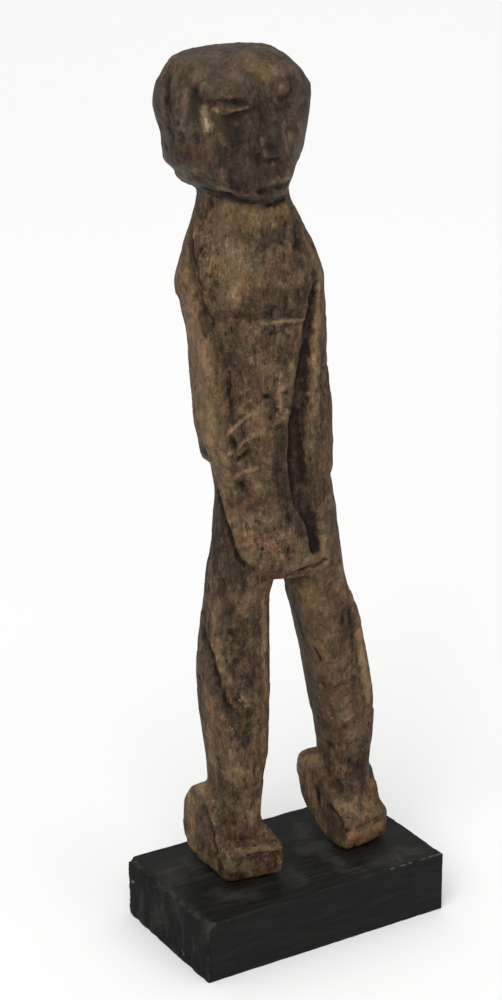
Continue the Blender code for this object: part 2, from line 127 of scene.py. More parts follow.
# Marks of use and age on the figure, by kind and place, with painted shadows, painted shade and painted
# highlights among them. Each is its half width in photo pixels, its strength and its path over the photo.
marks = {
    "stainAndShadow": {
        "neck": ((6, 0.5, (211, 204)), (6, 1, (295, 224), (297, 248)),
            # the first of these is painted shadow under the right of the jaw
            (2.4, 1, (254, 203), (270, 205), (286, 200)), (7, 0.55, (200, 214), (207, 206))),
        "rightShoulder": ((3.6, 0.8, (191, 238), (196, 262), (203, 290), (206, 312)), (6, 0.6, (203, 250)),
            (5, 0.5, (195, 299))),
        "chest": ((3.5, 0.8, (212, 284), (212, 297)), (11, 0.45, (259, 238), (273, 240)),
            (5, 0.5, (269, 261))),
        # the last of these is painted shadow under the right arm's end
        "rightArm": ((5, 0.7, (204, 316), (207, 332)), (5, 0.8, (210, 328)), (5, 1, (201, 449), (206, 453))),
        # a dark band under the chest's edge: partly stain, partly painted shade
        "chestEdge": ((6, 0.55, (243, 309), (270, 311), (301, 315)),),
        # the third of these is painted shadow along the right arm's edge
        "belly": ((5, 0.6, (279, 360)), (5, 0.5, (231, 364)), (2.2, 0.5, (229, 372), (231, 416)),
            (5, 1.15, (267, 396)), (3, 0.8, (277, 410)), (4.5, 0.5, (271, 404), (272, 420)),
            (3, 0.75, (232, 441)), (7, 1, (281, 428), (280, 482)), (5, 0.6, (270, 431)), (5, 0.6, (258, 402)),
            (5, 0.5, (248, 409)), (4, 0.6, (279, 415))),
        "leftShoulder": ((4.5, 1, (314, 274), (311, 300)), (6, 1, (311, 300), (305, 340), (300, 372))),
        "trough": ((8.5, 1, (300, 372), (296, 410), (294, 455)), (6, 0.55, (313, 425), (316, 475)),
            (6, 0.7, (289, 394), (291, 404)), (9, 1, (297, 432), (292, 460), (290, 487), (294, 515))),
        "slot": ((10, 1, (294, 455), (297, 488)), (8, 1, (297, 488), (309, 520), (312, 547)),
            (1.6, 1.1, (288, 576), (300, 571), (316, 566), (326, 559)), (10, 1, (287, 482), (291, 514)),
            (5, 0.6, (284, 542), (290, 560)), (6, 0.8, (299, 520), (302, 536))),
        "leftArm": ((3, 0.6, (325, 320), (323, 360)), (4, 0.6, (321, 372), (322, 425), (317, 460)),
            (4, 0.5, (330, 448))),
        "lap": ((3, 0.95, (240, 458), (248, 450)), (2, 0.8, (245, 464), (246, 452)), (6.5, 1.1, (241, 485)),
            (5, 0.45, (252, 507)), (5, 0.7, (249, 572)), (9, 0.75, (283, 452), (287, 478), (296, 500)),
            (4, 0.5, (267, 482)), (5, 0.5, (251, 552)), (6, 0.55, (265, 557)), (4, 0.5, (257, 545)),
            (5, 0.7, (240, 575), (246, 590))),
        "rightHip": ((5, 0.5, (232, 505)), (3, 0.9, (217, 492), (224, 515)),
            (7, 0.95, (220, 510), (229, 543), (243, 570)), (8, 0.85, (217, 500), (219, 530), (226, 562)),
            (7, 0.65, (214, 525), (214, 570)), (4, 0.6, (234, 527)),
            (6, 0.8, (226, 575), (222, 592), (228, 608)), (5, 0.7, (208, 560), (206, 585))),
        "rightThigh": ((4.5, 1, (229, 612)), (6, 1.15, (231, 632)), (8, 0.5, (240, 650)),
            (6, 0.95, (203, 614), (205, 636), (211, 656), (217, 678), (223, 698), (230, 712)),
            (6, 0.5, (203, 655)), (8, 0.5, (236, 645)), (1.2, 0.8, (260, 600), (260, 700))),
        "rightShin": ((6, 0.9, (236, 712), (250, 714)), (7, 0.7, (238, 732), (247, 737)),
            (5, 0.6, (223, 677)), (9, 0.7, (240, 716), (242, 736)), (1.3, 0.9, (233, 697), (245, 708)),
            (1.3, 0.9, (243, 688), (252, 700))),
        "leftThigh": ((7, 0.6, (346, 612), (350, 640)), (1.6, 0.9, (315, 648), (320, 660)),
            (1.6, 1.1, (352, 622), (353, 650), (354, 684)), (5, 0.5, (345, 649))),
        "leftShin": ((5, 1.05, (330, 744)), (3, 0.9, (350, 761)), (6, 0.55, (365, 738), (364, 752)),
            (3.5, 0.7, (343, 710)), (4, 0.7, (345, 726)), (6, 0.6, (366, 742))),
        "leftFoot": ((8, 0.95, (359, 765)), (5, 0.65, (330, 784), (349, 790), (366, 790)),
            (3.5, 0.9, (367, 818)), (3, 0.8, (329, 806), (340, 820), (346, 832)),
            (4, 0.6, (358, 768), (361, 783)), (2.5, 0.8, (362, 806)), (5, 0.8, (349, 798)),
            (4, 0.5, (359, 807)), (4, 0.5, (342, 802))),
        "leftHeel": ((4, 1.15, (318, 788), (320, 802)), (1.8, 0.6, (321, 777), (345, 779), (354, 780))),
        "rightHeel": ((3.2, 0.8, (205, 808), (213, 832), (216, 852)),),
        "rightFoot": ((4, 0.7, (276, 866)), (4, 0.5, (229, 866), (238, 872)),
            # the second of these is painted shadow at the bottom of the right foot's toes
            (3, 0.6, (241, 838), (246, 848)), (9, 1.1, (222, 872), (235, 878)),
            (1.6, 0.8, (247, 858), (262, 856), (277, 854)), (7, 0.45, (252, 867), (270, 866)),
            (3.5, 0.6, (257, 839)), (5, 0.5, (229, 815), (234, 828)), (4, 0.5, (233, 764)),
            (4, 0.6, (273, 846))),
        "mouth": ((7, 0.6, (248, 176)), (4.5, 0.85, (262, 192), (270, 193)), (3.5, 0.7, (285, 190)),
            (4, 0.6, (276, 184)), (2, 1, (265, 187), (277, 186), (288, 183)), (4, 0.7, (264, 199)),
            (5, 0.7, (253, 185)), (4, 0.6, (249, 199)), (4, 0.5, (266, 184)),
            (10, 0.45, (252, 160), (258, 172))),
        "temple": ((5, 0.9, (197, 88), (196, 100), (198, 114)), (4, 1, (168, 80), (170, 112))),
        "cheek": ((6, 0.85, (222, 122), (231, 118)), (3, 0.7, (224, 113), (240, 118)), (4, 0.5, (223, 142)),
            (4, 0.6, (214, 117))),
        "rightEye": ((5, 0.5, (246, 107)), (4, 0.8, (238, 90)), (6, 0.6, (235, 87)),
            (2, 1, (209, 101), (222, 100), (236, 102)), (4, 0.8, (243, 104), (252, 106)),
            (3, 0.7, (227, 93))),
        "nose": ((6, 1.4, (271, 147), (271, 156)), (3.6, 1.25, (277, 123), (278, 140), (276, 156))),
        # the first of these is painted shadow under the jaw
        "jaw": ((3, 1.2, (203, 189), (228, 195), (254, 203)), (6, 0.6, (239, 160)), (5, 0.6, (240, 171))),
    },
    "worn": {
        "rightShoulder": ((10, 0.75, (193, 300), (198, 340), (203, 380)),),
        "rightArm": ((9, 0.8, (203, 380), (209, 425), (214, 470)), (5, 0.7, (221, 397)),
            (5, 0.6, (222, 353))),
        "leftArm": ((4.5, 0.85, (318, 315), (316, 380), (312, 440)), (5, 0.6, (311, 315))),
        "belly": ((2.2, 1, (228, 433), (240, 423), (252, 412)), (9, 0.7, (250, 413), (266, 425)),
            (4.5, 0.85, (283, 388), (280, 420)), (4, 0.6, (233, 434))),
        "rightHip": ((2.2, 1, (229, 454), (242, 444), (256, 434)),
            (2.4, 0.9, (234, 478), (246, 471), (257, 468)), (7, 0.6, (221, 480), (231, 515), (243, 542)),
            (7, 0.85, (226, 472)), (6, 0.8, (222, 467), (220, 486)), (4, 0.7, (217, 451)),
            (4, 0.8, (234, 453)), (6, 0.7, (228, 480)), (6, 0.6, (226, 462)), (5, 0.6, (217, 457))),
        "chestEdge": ((3, 0.95, (264, 323), (284, 321), (303, 320)), (2, 0.6, (251, 336), (251, 364)),
            (2, 0.5, (304, 310), (297, 350), (290, 390)), (4, 0.7, (277, 325))),
        "leftShoulder": ((2, 0.7, (320, 274), (314, 320), (310, 380), (306, 440)),
            (5, 0.6, (306, 240), (321, 272)), (3, 0.5, (300, 294))),
        # the neck's lightening under the jaw: partly light wood, partly painted light against the head's
        # shade
        "neck": ((6, 0.75, (228, 200), (261, 208), (283, 208)), (5, 0.6, (190, 222), (178, 272)),
            (8, 0.9, (226, 206), (250, 213), (285, 212)), (7, 0.7, (243, 224), (272, 222)),
            (5, 0.6, (224, 222)), (5, 0.6, (233, 220))),
        "chest": ((9, 0.5, (213, 275), (222, 255)), (5, 0.6, (207, 229))),
        "lap": ((8, 0.65, (252, 545), (275, 541), (294, 535)), (7, 0.6, (258, 488)), (5, 0.5, (264, 490))),
        "leftHip": ((6, 0.6, (330, 540)), (5, 0.85, (324, 538), (326, 565)), (5, 0.5, (321, 526)),
            (5, 0.6, (323, 571))),
        "rightThigh": ((4, 0.75, (212, 615), (217, 645), (227, 682)), (3.5, 0.95, (264, 600), (265, 690)),
            (3, 0.8, (207, 586)), (3, 0.8, (215, 622), (213, 640), (220, 664), (225, 682)),
            (2.6, 0.8, (265, 592), (266, 700))),
        "rightShin": ((8, 0.6, (206, 692), (210, 727), (212, 760)), (9, 0.5, (225, 755), (240, 777)),
            (3, 0.8, (203, 713)), (7, 0.5, (262, 736)), (8, 0.5, (209, 700), (212, 745)),
            (1.3, 0.9, (229, 700), (240, 707)), (1.3, 0.9, (237, 690), (249, 706)), (5, 0.7, (264, 746))),
        "leftThigh": ((14, 0.45, (308, 600), (313, 630), (320, 665)),
            (5, 1.2, (359, 630), (364, 668), (369, 700)), (6, 0.5, (335, 590), (342, 572)),
            (4, 0.7, (296, 585))),
        "leftShin": ((9, 0.5, (340, 700), (355, 732)), (6, 0.6, (353, 749)), (6, 0.5, (359, 711))),
        "rightHeel": ((9, 0.8, (191, 800), (192, 842)), (6, 1, (197, 790), (206, 785)), (7, 0.9, (208, 792)),
            (5, 0.6, (201, 814))),
        "rightFoot": ((3.2, 0.9, (238, 850), (258, 847), (276, 846)), (6, 0.8, (253, 819), (260, 805)),
            (5, 0.5, (250, 874)), (4, 0.7, (219, 824)), (4, 0.7, (245, 843)), (4, 0.7, (214, 807)),
            (6, 0.7, (213, 802))),
        "leftHeel": ((8, 0.8, (306, 768), (312, 795), (323, 828)), (7, 1.2, (298, 764), (318, 759)),
            (4, 0.9, (300, 772), (312, 767)), (5, 0.8, (300, 780))),
        "leftFoot": ((8, 0.65, (347, 806), (373, 808)), (5, 0.6, (373, 783)), (7, 0.9, (362, 841)),
            (1.6, 0.7, (331, 805), (339, 816)), (5.5, 0.9, (353, 834), (368, 834), (381, 825)),
            (5, 0.8, (369, 840))),
        "crown": ((6, 0.55, (242, 52)), (8, 0.45, (262, 70), (277, 71), (286, 67)),
            (4, 0.7, (258, 47), (277, 53)), (6, 0.45, (205, 71)), (8, 0.5, (246, 51), (253, 62)),
            (9, 0.6, (258, 68), (268, 72))),
        "jaw": ((5, 0.5, (223, 176)), (2.2, 0.55, (207, 182), (221, 189), (250, 196))),
        "cheek": ((3.5, 0.6, (222, 141)), (2.5, 0.8, (212, 124), (211, 130))),
        "face": ((3, 0.5, (237, 122)),),
        "nose": ((3, 0.7, (284, 124), (286, 146), (284, 157)), (1.8, 0.7, (263, 141), (261, 149), (265, 157)),
            (2, 0.7, (262, 139), (262, 151)), (5, 0.7, (290, 137)), (3.5, 0.7, (283, 126), (283, 140))),
        "rightEye": ((2.2, 0.85, (212, 108), (226, 113), (240, 110), (248, 108)),
            (4.5, 1.1, (203, 108), (206, 128)), (2, 0.8, (222, 93), (230, 97)),
            (1.6, 0.8, (210, 110), (232, 113))),
        "mouth": ((2, 0.5, (272, 181), (287, 178)), (3, 1, (273, 165))),
        "temple": ((3.5, 0.6, (186, 92), (183, 130)), (5, 0.5, (199, 76))),
        "slot": ((5, 0.6, (312, 574)),),
        # the first of these is a painted highlight on the left eye's boss
        "leftEye": ((2.2, 1, (281, 88)), (2.5, 0.5, (276, 100))),
    },
    "warm": {
        "ear": ((9, 0.8, (182, 147), (195, 154), (204, 166)),),
        "mouth": ((8, 0.8, (268, 165), (290, 164)), (7, 1, (273, 165), (288, 164))),
        "leftFoot": ((8, 0.9, (352, 836), (368, 838), (382, 828)),),
        "rightHeel": ((8, 0.5, (191, 800), (192, 842)),),
        "leftThigh": ((12, 0.5, (310, 600), (318, 650)), (14, 0.5, (305, 595), (315, 640))),
        "nose": ((6, 0.5, (286, 139)),),
        "jaw": ((8, 0.5, (205, 162), (225, 180)),),
    },
    "pale": {
        "rightEye": ((1, 0.75, (205, 99), (205, 110)),),
        "cheek": ((2.2, 0.8, (206, 119), (208, 131)),),
        "rightShin": ((0.9, 1, (226, 722), (231, 730)), (0.8, 0.8, (232, 702), (245, 710)),
            (0.8, 0.8, (237, 697), (247, 707))),
        "leftShin": ((0.8, 0.9, (317, 714), (325, 717), (335, 719)),),
        "rightThigh": ((1.2, 0.9, (229, 624)), (0.9, 0.9, (216, 625))),
        "slot": ((1, 0.9, (297, 532)),),
        "lap": ((0.9, 0.8, (250, 525)),),
        "leftFoot": ((1, 0.9, (334, 794)),),
        # painted sparkles of the chest's highlight
        "chest": ((0.8, 0.7, (227, 264)), (0.8, 0.7, (239, 266)), (0.8, 0.7, (232, 292)),
            (0.8, 0.7, (243, 253))),
        # a painted glint on the left eye
        "leftEye": ((1, 0.55, (282, 88)),),
    },
    "olive": {
        "rightEye": ((5, 0.8, (203, 106), (207, 134)), (4, 0.9, (213, 107), (226, 112))),
        "crown": ((14, 0.9, (252, 58), (262, 72)),),
        "mouth": ((7, 0.7, (277, 180)),),
        "neck": ((10, 0.5, (250, 212), (285, 212)),),
        "chest": ((12, 0.5, (212, 258), (214, 292)),),
        "cheek": ((10, 0.6, (205, 155)), (6, 0.6, (213, 148))),
        "rightShin": ((9, 0.6, (208, 690), (212, 745)),),
    },
    "cut": {
        "rightShoulder": ((1.6, 0.7, (191, 240), (195, 264), (201, 292), (206, 308)),),
        "belly": ((1.3, 0.5, (228, 372), (230, 416)), (2.4, 0.9, (231, 437), (234, 446)),
            (1.6, 0.8, (267, 396)), (1.4, 0.5, (277, 410))),
        "lap": ((2.4, 0.9, (238, 460), (249, 451)), (3, 0.8, (241, 485))),
        "rightHip": ((2.6, 0.9, (217, 492), (226, 525), (236, 557), (252, 571)),),
        "rightThigh": ((3.2, 0.7, (203, 630), (211, 656), (217, 678), (223, 698), (230, 710)),
            (3, 0.7, (231, 632))),
        "leftThigh": ((3, 0.5, (350, 612), (354, 637)), (1.2, 0.5, (357, 640), (358, 664), (361, 688)),
            (1.2, 0.5, (315, 648), (320, 660))),
        "rightHeel": ((2.2, 0.9, (205, 808), (213, 832), (216, 852)),),
        "leftFoot": ((2, 0.9, (329, 806), (340, 820), (346, 832)),
            (1.1, 0.6, (347, 831), (366, 824), (385, 813))),
        "slot": ((1.2, 0.8, (288, 548), (287, 577)),
            (1.8, 0.9, (288, 576), (300, 571), (316, 566), (326, 559))),
        "rightShin": ((1.2, 0.5, (235, 699), (250, 708)), (1.2, 0.5, (238, 706), (253, 714))),
        "leftShoulder": ((3, 0.6, (296, 226), (297, 246)),),
        "neck": ((4, 0.5, (210, 204)), (1.5, 0.6, (254, 203), (270, 205), (284, 200))),
        "leftHeel": ((2.5, 0.6, (317, 790), (318, 800)),),
        "leftShin": ((3, 0.5, (330, 744)), (2, 0.5, (350, 761))),
        "rightFoot": ((1, 0.8, (247, 856), (262, 854), (277, 852)),),
        "jaw": ((2, 0.8, (205, 189), (228, 195), (254, 203)),),
    },
    "light": {
        "crown": ((28, 0.6, (200, 62), (228, 58)), (15, 0.7, (264, 66))),
        # partly light wood, partly painted light against the head's shade under the jaw
        "neck": ((30, 0.5, (235, 225), (245, 270)),),
        "rightArm": ((22, 0.7, (190, 330), (198, 380), (204, 430)),),
        "belly": ((16, 0.5, (250, 410)),),
        "lap": ((18, 0.5, (265, 545)),),
        "rightHeel": ((14, 0.5, (192, 820)),),
        "leftHeel": ((12, 0.5, (310, 790)),),
        "leftFoot": ((14, 0.5, (355, 808)),),
    },
    "dark": {
        "face": ((16, 0.9, (236, 126), (240, 148)), (14, 0.9, (255, 150), (268, 180))),
        "jaw": ((18, 0.6, (230, 160), (240, 185)),),
        "nose": ((14, 0.5, (262, 112), (268, 135)),),
        # under the chest's edge: painted shade, with some stain
        "chestEdge": ((14, 0.6, (250, 308), (285, 312)),),
        "leftShoulder": ((16, 0.5, (300, 300)), (10, 0.8, (296, 240))),
        "rightHip": ((12, 0.7, (212, 530), (226, 565)),),
        "rightThigh": ((22, 0.5, (235, 640), (245, 690)),),
        "rightShin": ((12, 0.6, (240, 730)),),
        "leftFoot": ((14, 0.6, (360, 765)),),
    },
    "ridge": {
        "belly": ((1.7, 0.55, (228, 433), (240, 423), (252, 412)),),
        "rightHip": ((1.7, 0.6, (229, 454), (242, 444), (256, 434)),
            (1.9, 0.4, (234, 478), (246, 471), (257, 468))),
        "chestEdge": ((2, 0.4, (264, 323), (284, 321), (303, 320)),),
        "rightEye": ((1.6, 0.5, (212, 108), (226, 113), (240, 110), (248, 108)),),
    },
    # sheen: a painted highlight, lighter and with painted glints, on the chest and the left eye; it also
    # lowers the roughness there
    "sheen": {
        "chest": ((11, 0.8, (233, 262), (234, 296)),),
        "leftEye": ((4, 0.5, (282, 90)),),
    },
    "grey": {
        "crown": ((20, 0.8, (205, 62), (215, 75)),),
        "rightEye": ((9, 0.6, (222, 88)),),
        # the grey on the chest is the colour of the painted highlight there
        "chest": ((11, 0.9, (232, 262), (234, 296)),),
        "temple": ((8, 0.5, (186, 105), (188, 130)), (9, 0.7, (199, 78))),
        "leftShoulder": ((9, 0.6, (296, 240)),),
        "leftEye": ((7, 0.7, (285, 89)),),
        "leftThigh": ((5, 0.5, (365, 650), (368, 690)),),
        "mouth": ((4, 0.8, (265, 171)),),
        "nose": ((6, 0.8, (262, 149)),),
    },
    "rough": {
        "neck": ((9, 1, (203, 222), (207, 248)),),
        "chest": ((9, 1, (209, 262), (211, 296)),),
        "chestEdge": ((8, 0.6, (270, 330), (286, 334)),),
        "belly": ((8, 0.7, (280, 395), (285, 420)),),
        "lap": ((22, 0.7, (262, 540)),),
    },
    "lined": {
        "leftShoulder": ((14, 0.9, (298, 262), (300, 290)),),
        "chest": ((14, 0.8, (268, 300), (295, 306)),),
        "chestEdge": ((12, 0.5, (235, 330), (232, 345)),),
        "belly": ((14, 0.5, (262, 345), (276, 370)),),
        "rightThigh": ((12, 0.6, (205, 660), (215, 700)),),
    },
    "smooth": {
        "leftThigh": ((20, 0.9, (308, 600), (320, 680), (330, 740)),),
        "crown": ((34, 0.9, (205, 60), (240, 60)),),
        "rightArm": ((12, 0.8, (195, 330), (200, 380), (207, 430)),),
        "rightShin": ((10, 0.7, (210, 700), (212, 745)),),
        "rightHeel": ((14, 0.7, (190, 820)),),
        "chest": ((12, 0.7, (233, 265), (234, 296)),),
        "face": ((20, 0.6, (245, 135), (250, 165)),),
        "trough": ((10, 0.7, (294, 440), (304, 520)),),
    },
}


# Each column of the table at the given heights: a cubic between neighbouring
# rows whose slope at a row is the mean of the two slopes beside it.
def smoothTable(heights, table):
    table = np.asarray(table, float)
    z = table[:, 0]
    values = table[:, 1:]
    steps = np.diff(z)[:, None]
    slopes = np.diff(values, axis=0) / steps
    inner = 0.5 * (slopes[1:] + slopes[:-1])
    inner[slopes[1:] * slopes[:-1] <= 0] = 0
    slopeAt = np.vstack([slopes[:1], inner, slopes[-1:]])
    heights = np.clip(heights, z[0], z[-1])
    i = np.clip(np.searchsorted(z, heights, side="right") - 1, 0, len(z) - 2)
    t = ((heights - z[i]) / (z[i + 1] - z[i]))[:, None]
    step = steps[i]
    return ((1 + 2 * t) * (1 - t) ** 2 * values[i] + t * (1 - t) ** 2 * step * slopeAt[i]
            + t * t * (3 - 2 * t) * values[i + 1] - t * t * (1 - t) * step * slopeAt[i + 1])


# 0 below low, 1 above high, and three t squared less two t cubed between.
def ease(low, high, x):
    t = np.clip((x - low) / (high - low), 0, 1)
    return t * t * (3 - 2 * t)


# 1 between low and high, falling to 0 over soft on both sides.
def band(x, low, high, soft):
    return ease(low - soft, low, x) * (1 - ease(high, high + soft, x))


# A bell: e to the minus square of the distance from middle over width.
def bump(x, middle, width):
    return np.exp(-((x - middle) / width) ** 2)


# Distance from the middle to a superellipse's edge, angle 0 along the depth:
# the sum of |sin / half width| and |cos / half depth| to the power, inverted.
def superRadius(angle, halfWidth, halfDepth, power):
    across = np.abs(np.sin(angle) / halfWidth) ** power
    along = np.abs(np.cos(angle) / halfDepth) ** power
    return (across + along) ** (-1 / power)


# Smooth noise from -1 to 1: seeded random values on a cubic lattice of the
# given cell size, joined by eased trilinear weights.
def smoothNoise(points, seed, size):
    lattice = np.random.default_rng(seed).random((noiseCells, noiseCells, noiseCells)) * 2 - 1
    p = points / size
    cell = np.floor(p).astype(int)
    t = ease(0, 1, p - cell)
    total = np.zeros(len(points))
    for corner in np.ndindex(2, 2, 2):
        weight = np.prod(np.where(corner, t, 1 - t), axis=1)
        i, j, k = ((cell + corner) % noiseCells).T
        total += weight * lattice[i, j, k]
    return total


# Layers of smooth noise, each half as large and half as strong as the last.
def layeredNoise(points, seed, size, layers=3):
    total = np.zeros(len(points))
    for layer in range(layers):
        total += smoothNoise(points, seed + layer, size / 2 ** layer) / 2 ** layer
    return total / (2 - 0.5 ** (layers - 1))


# Flat knife cuts: every point lies on the randomly tilted plane through the
# nearest of the jittered cell middles, one in each cell.
def knifeCuts(points, seed, size):
    rng = np.random.default_rng(seed)
    cells = (noiseCells, noiseCells, noiseCells, 3)
    jitter = rng.random(cells)
    slope = rng.normal(size=cells)
    p = points / size
    cell = np.floor(p).astype(int)
    nearest = np.full(len(points), np.inf)
    offset = np.zeros(len(points))
    for corner in np.ndindex(3, 3, 3):
        here = cell + np.array(corner) - 1
        i, j, k = (here % noiseCells).T
        away = p - here - jitter[i, j, k]
        distance = (away ** 2).sum(1)
        closer = distance < nearest
        nearest = np.where(closer, distance, nearest)
        offset = np.where(closer, (away * slope[i, j, k]).sum(1), offset)
    return offset


# Distance from each point to a path of straight pieces, over the width.
def pathDistance(points, path, width):
    path = np.asarray(path, float)
    if len(path) == 1:
        return np.linalg.norm(points - path[0], axis=1) / width
    nearest = np.full(len(points), np.inf)
    for a, b in zip(path[:-1], path[1:]):
        step = b - a
        t = np.clip((points - a) @ step / (step @ step), 0, 1)
        nearest = np.minimum(nearest, np.linalg.norm(points - a - t[:, None] * step, axis=1))
    return nearest / width


# Places pushed about by noise of two sizes, so that marks get ragged edges.
def ragged(points, coarse, small):
    moved = points.copy()
    for axis in range(3):
        wide = coarse * smoothNoise(points, 101 + axis, ragSizes[0])
        moved[:, axis] += wide + small * smoothNoise(points, 111 + axis, ragSizes[1])
    return moved


# The camera's matrix: turned along its direction, then rolled about it.
def cameraMatrix():
    facing = Vector(camera["direction"]).to_track_quat("-Z", "Y").to_matrix().to_4x4()
    return Matrix.Translation(camera["place"]) @ facing @ Matrix.Rotation(radians(camera["roll"]), 4, "Z")


# Marks carried from the photo onto a surface: the ray from the camera through
# each pixel is cut with the surface, and a width in pixels is made millimetres
# by the distance over the focal length. Lift is the surface's own zero height.
def carryOver(kinds, points, faces, lift):
    tree = BVHTree.FromPolygons(points.tolist(), faces.tolist())
    across, tall = camera["photo"]
    focal = camera["lens"] / camera["sensor"] * tall
    view = cameraMatrix()
    eye = view.translation / mm - Vector((0, 0, lift))
    carried = {}
    for kind, places in kinds.items():
        carried[kind] = []
        for width, strength, *path in sum(places.values(), ()):
            rays = [view.to_3x3() @ Vector((u - across / 2, tall / 2 - v, -focal)) for u, v in path]
            hits = [tree.ray_cast(eye, ray.normalized())[0] for ray in rays]
            hits = [tuple(hit) for hit in hits if hit is not None]
            if hits:
                reach = (Vector(hits[0]) - eye).length
                carried[kind].append((width * reach / focal, strength, hits))
    return carried


# A kind of mark over all points: the strongest of its marks, each full near
# its path and falling to nothing about one width from it, slowly if soft.
def markField(points, kind, soft=0.45, coarse=0.6, small=0.4):
    moved = ragged(points, coarse, small)
    field = np.zeros(len(points))
    for width, strength, path in placed[kind]:
        field = np.maximum(field, strength * (1 - ease(1 - soft, 1 + soft, pathDistance(moved, path, width))))
    return field

# Forms of the trunk and its arms: millimetres over the plain trunk, degrees
# round it from its front, and heights over the soles.
trunkForms = {
    "chest": 1.3,
    "chestBehind": 0.8,          # the share of it that the back has
    "chestFront": (44, 60),      # where it runs out, in front and behind
    "chestBack": (40, 58),
    "edgeTilt": 0.02,            # the chest's lower edge: tilt and wave
    "edgeWave": 0.5,
    "edgePace": 0.21,
    "rightArmBack": -134,        # the arms' far edges
    "leftArmBack": 132,
    "rightArmHeights": (132, 143, 154, 166),
    "rightArm": (0, 2.4, 2.7, 2.1, 1.1, 0),
    "leftArmHeights": (132, 147, 162, 172),
    "leftArm": (0, 0.8, 0.8, 0.6, 0.5, 0),
    "cutHeights": (128, 137, 147, 157, 165, 170, 178),
    "cutAngles": (-47, -43, -45, -48, -54, -60, -72),
    "cutHalf": 3.4,
    "troughHeights": (90, 95, 102, 109, 122, 132, 142, 152, 163, 172),
    "troughInner": (37, 33, 28, 14, 14, 21, 33, 44, 54, 66),
    "troughOuter": (43, 46, 46, 44, 38, 42, 50, 56, 64, 76),
    "trough": 2.2,
    # height or depth, middle and half width
    "backCut": (0.8, 48, 4.5),
    "nub": (0.9, -98, 26),
    "fingers": (0.9, -2, 5),
    "hand": 0.4,
    "handSides": (-44, -14),
}


# Where the cut between chest and right arm runs, in degrees.
def rightCutAngle(z):
    return np.interp(z, trunkForms["cutHeights"], trunkForms["cutAngles"])


# The two edges of the broad trough before the left arm, in degrees.
def leftTroughAngles(z):
    heights = trunkForms["troughHeights"]
    return np.interp(z, heights, trunkForms["troughInner"]), np.interp(z, heights, trunkForms["troughOuter"])


# Height of the carving over the plain trunk at an angle in degrees and a
# height over the soles: the sum of chest, arms, cuts, nub, hand and fingers.
def trunkRelief(angle, z):
    forms = trunkForms
    front = np.abs(angle)
    back = 180 - front
    wavy = forms["edgeWave"] * np.sin(angle * forms["edgePace"])
    edge = figure["chestEdge"] - forms["edgeTilt"] * angle + wavy
    chest = forms["chest"] * ease(edge - 2.4, edge + 2, z) * (1 - ease(edge + 4, edge + 26, z))
    behind = forms["chestBehind"] * (1 - ease(*forms["chestBack"], back))
    relief = chest * (1 - ease(*forms["chestFront"], front) + behind)
    cutAngle = rightCutAngle(z)
    inner, outer = leftTroughAngles(z)
    rightEnd = figure["rightArmEnd"]
    leftEnd = figure["leftArmEnd"]
    rightProud = np.interp(z, (rightEnd - 0.8, rightEnd + 0.6, *forms["rightArmHeights"]), forms["rightArm"])
    leftProud = np.interp(z, (leftEnd - 0.9, leftEnd + 0.9, *forms["leftArmHeights"]), forms["leftArm"])
    relief = relief + rightProud * band(angle, forms["rightArmBack"], cutAngle - 3, 3.5)
    relief = relief + leftProud * band(angle, outer + 3, forms["leftArmBack"], 4)
    deeper = 0.6 + 0.8 * ease(146, 160, z)
    relief = relief - deeper * bump(angle, cutAngle, forms["cutHalf"]) * band(z, 129, 172, 8)
    relief = relief - forms["trough"] * band(angle, inner + 1.5, outer - 1.5, 2.5) * band(z, 95, 168, 3)
    depth, middle, half = forms["backCut"]
    relief = relief - depth * bump(back, middle, half) * band(z, 124, 168, 8)
    proud, middle, half = forms["nub"]
    nub = ease(edge - 0.6, edge + 1, z) * (1 - ease(edge + 3, edge + 10, z))
    relief = relief + proud * bump(angle, middle, half) * nub
    hand = band(angle, *forms["handSides"], 7) * band(z - 0.18 * angle, 128, 139, 2.5)
    relief = relief + forms["hand"] * hand
    depth, middle, half = forms["fingers"]
    return relief - depth * bump(angle, middle, half) * bump(z, 140, 1.3)


# Rings round a body at each height: a superellipse plus relief, turned about
# its middle.
def ringPoints(z, table, degrees, power, relief):
    x, y, halfWidth, halfDepth, turn = [column[:, None] for column in smoothTable(z, table).T]
    angle = np.radians(degrees)
    radius = superRadius(angle, halfWidth, halfDepth, power) + relief
    turn = np.radians(turn)
    across = radius * np.sin(angle)
    along = -radius * np.cos(angle)
    px = x + across * np.cos(turn) - along * np.sin(turn)
    py = y + across * np.sin(turn) + along * np.cos(turn)
    return np.stack([px, py, np.broadcast_to(z[:, None], px.shape)], -1)


# Evenly spaced heights, and for each the same angles right round, in degrees.
def ringGrid(low, high, counts):
    z = np.linspace(low, high, counts[0])
    return z, np.linspace(-180, 180, counts[1], endpoint=False)[None, :] + 0 * z[:, None]


# The trunk with its arms, chest and hand, from the hips up into the head.
def trunkPoints():
    table = figure["trunk"]
    z, degrees = ringGrid(table[0][0], table[-1][0], figure["trunkRings"])
    return ringPoints(z, table, degrees, figure["trunkPower"], trunkRelief(degrees, z[:, None]))


# A leg: a squarish superellipse with a low ridge down its outer front corner.
def legPoints(table, outward):
    z, degrees = ringGrid(table[0][0], table[-1][0], figure["legRings"])
    proud, middle, half = figure["legRidge"]
    ridge = proud * bump(degrees * outward, middle, half) * band(z[:, None], 37, 74, 14)
    return ringPoints(z, table, degrees, figure["legPower"], ridge)


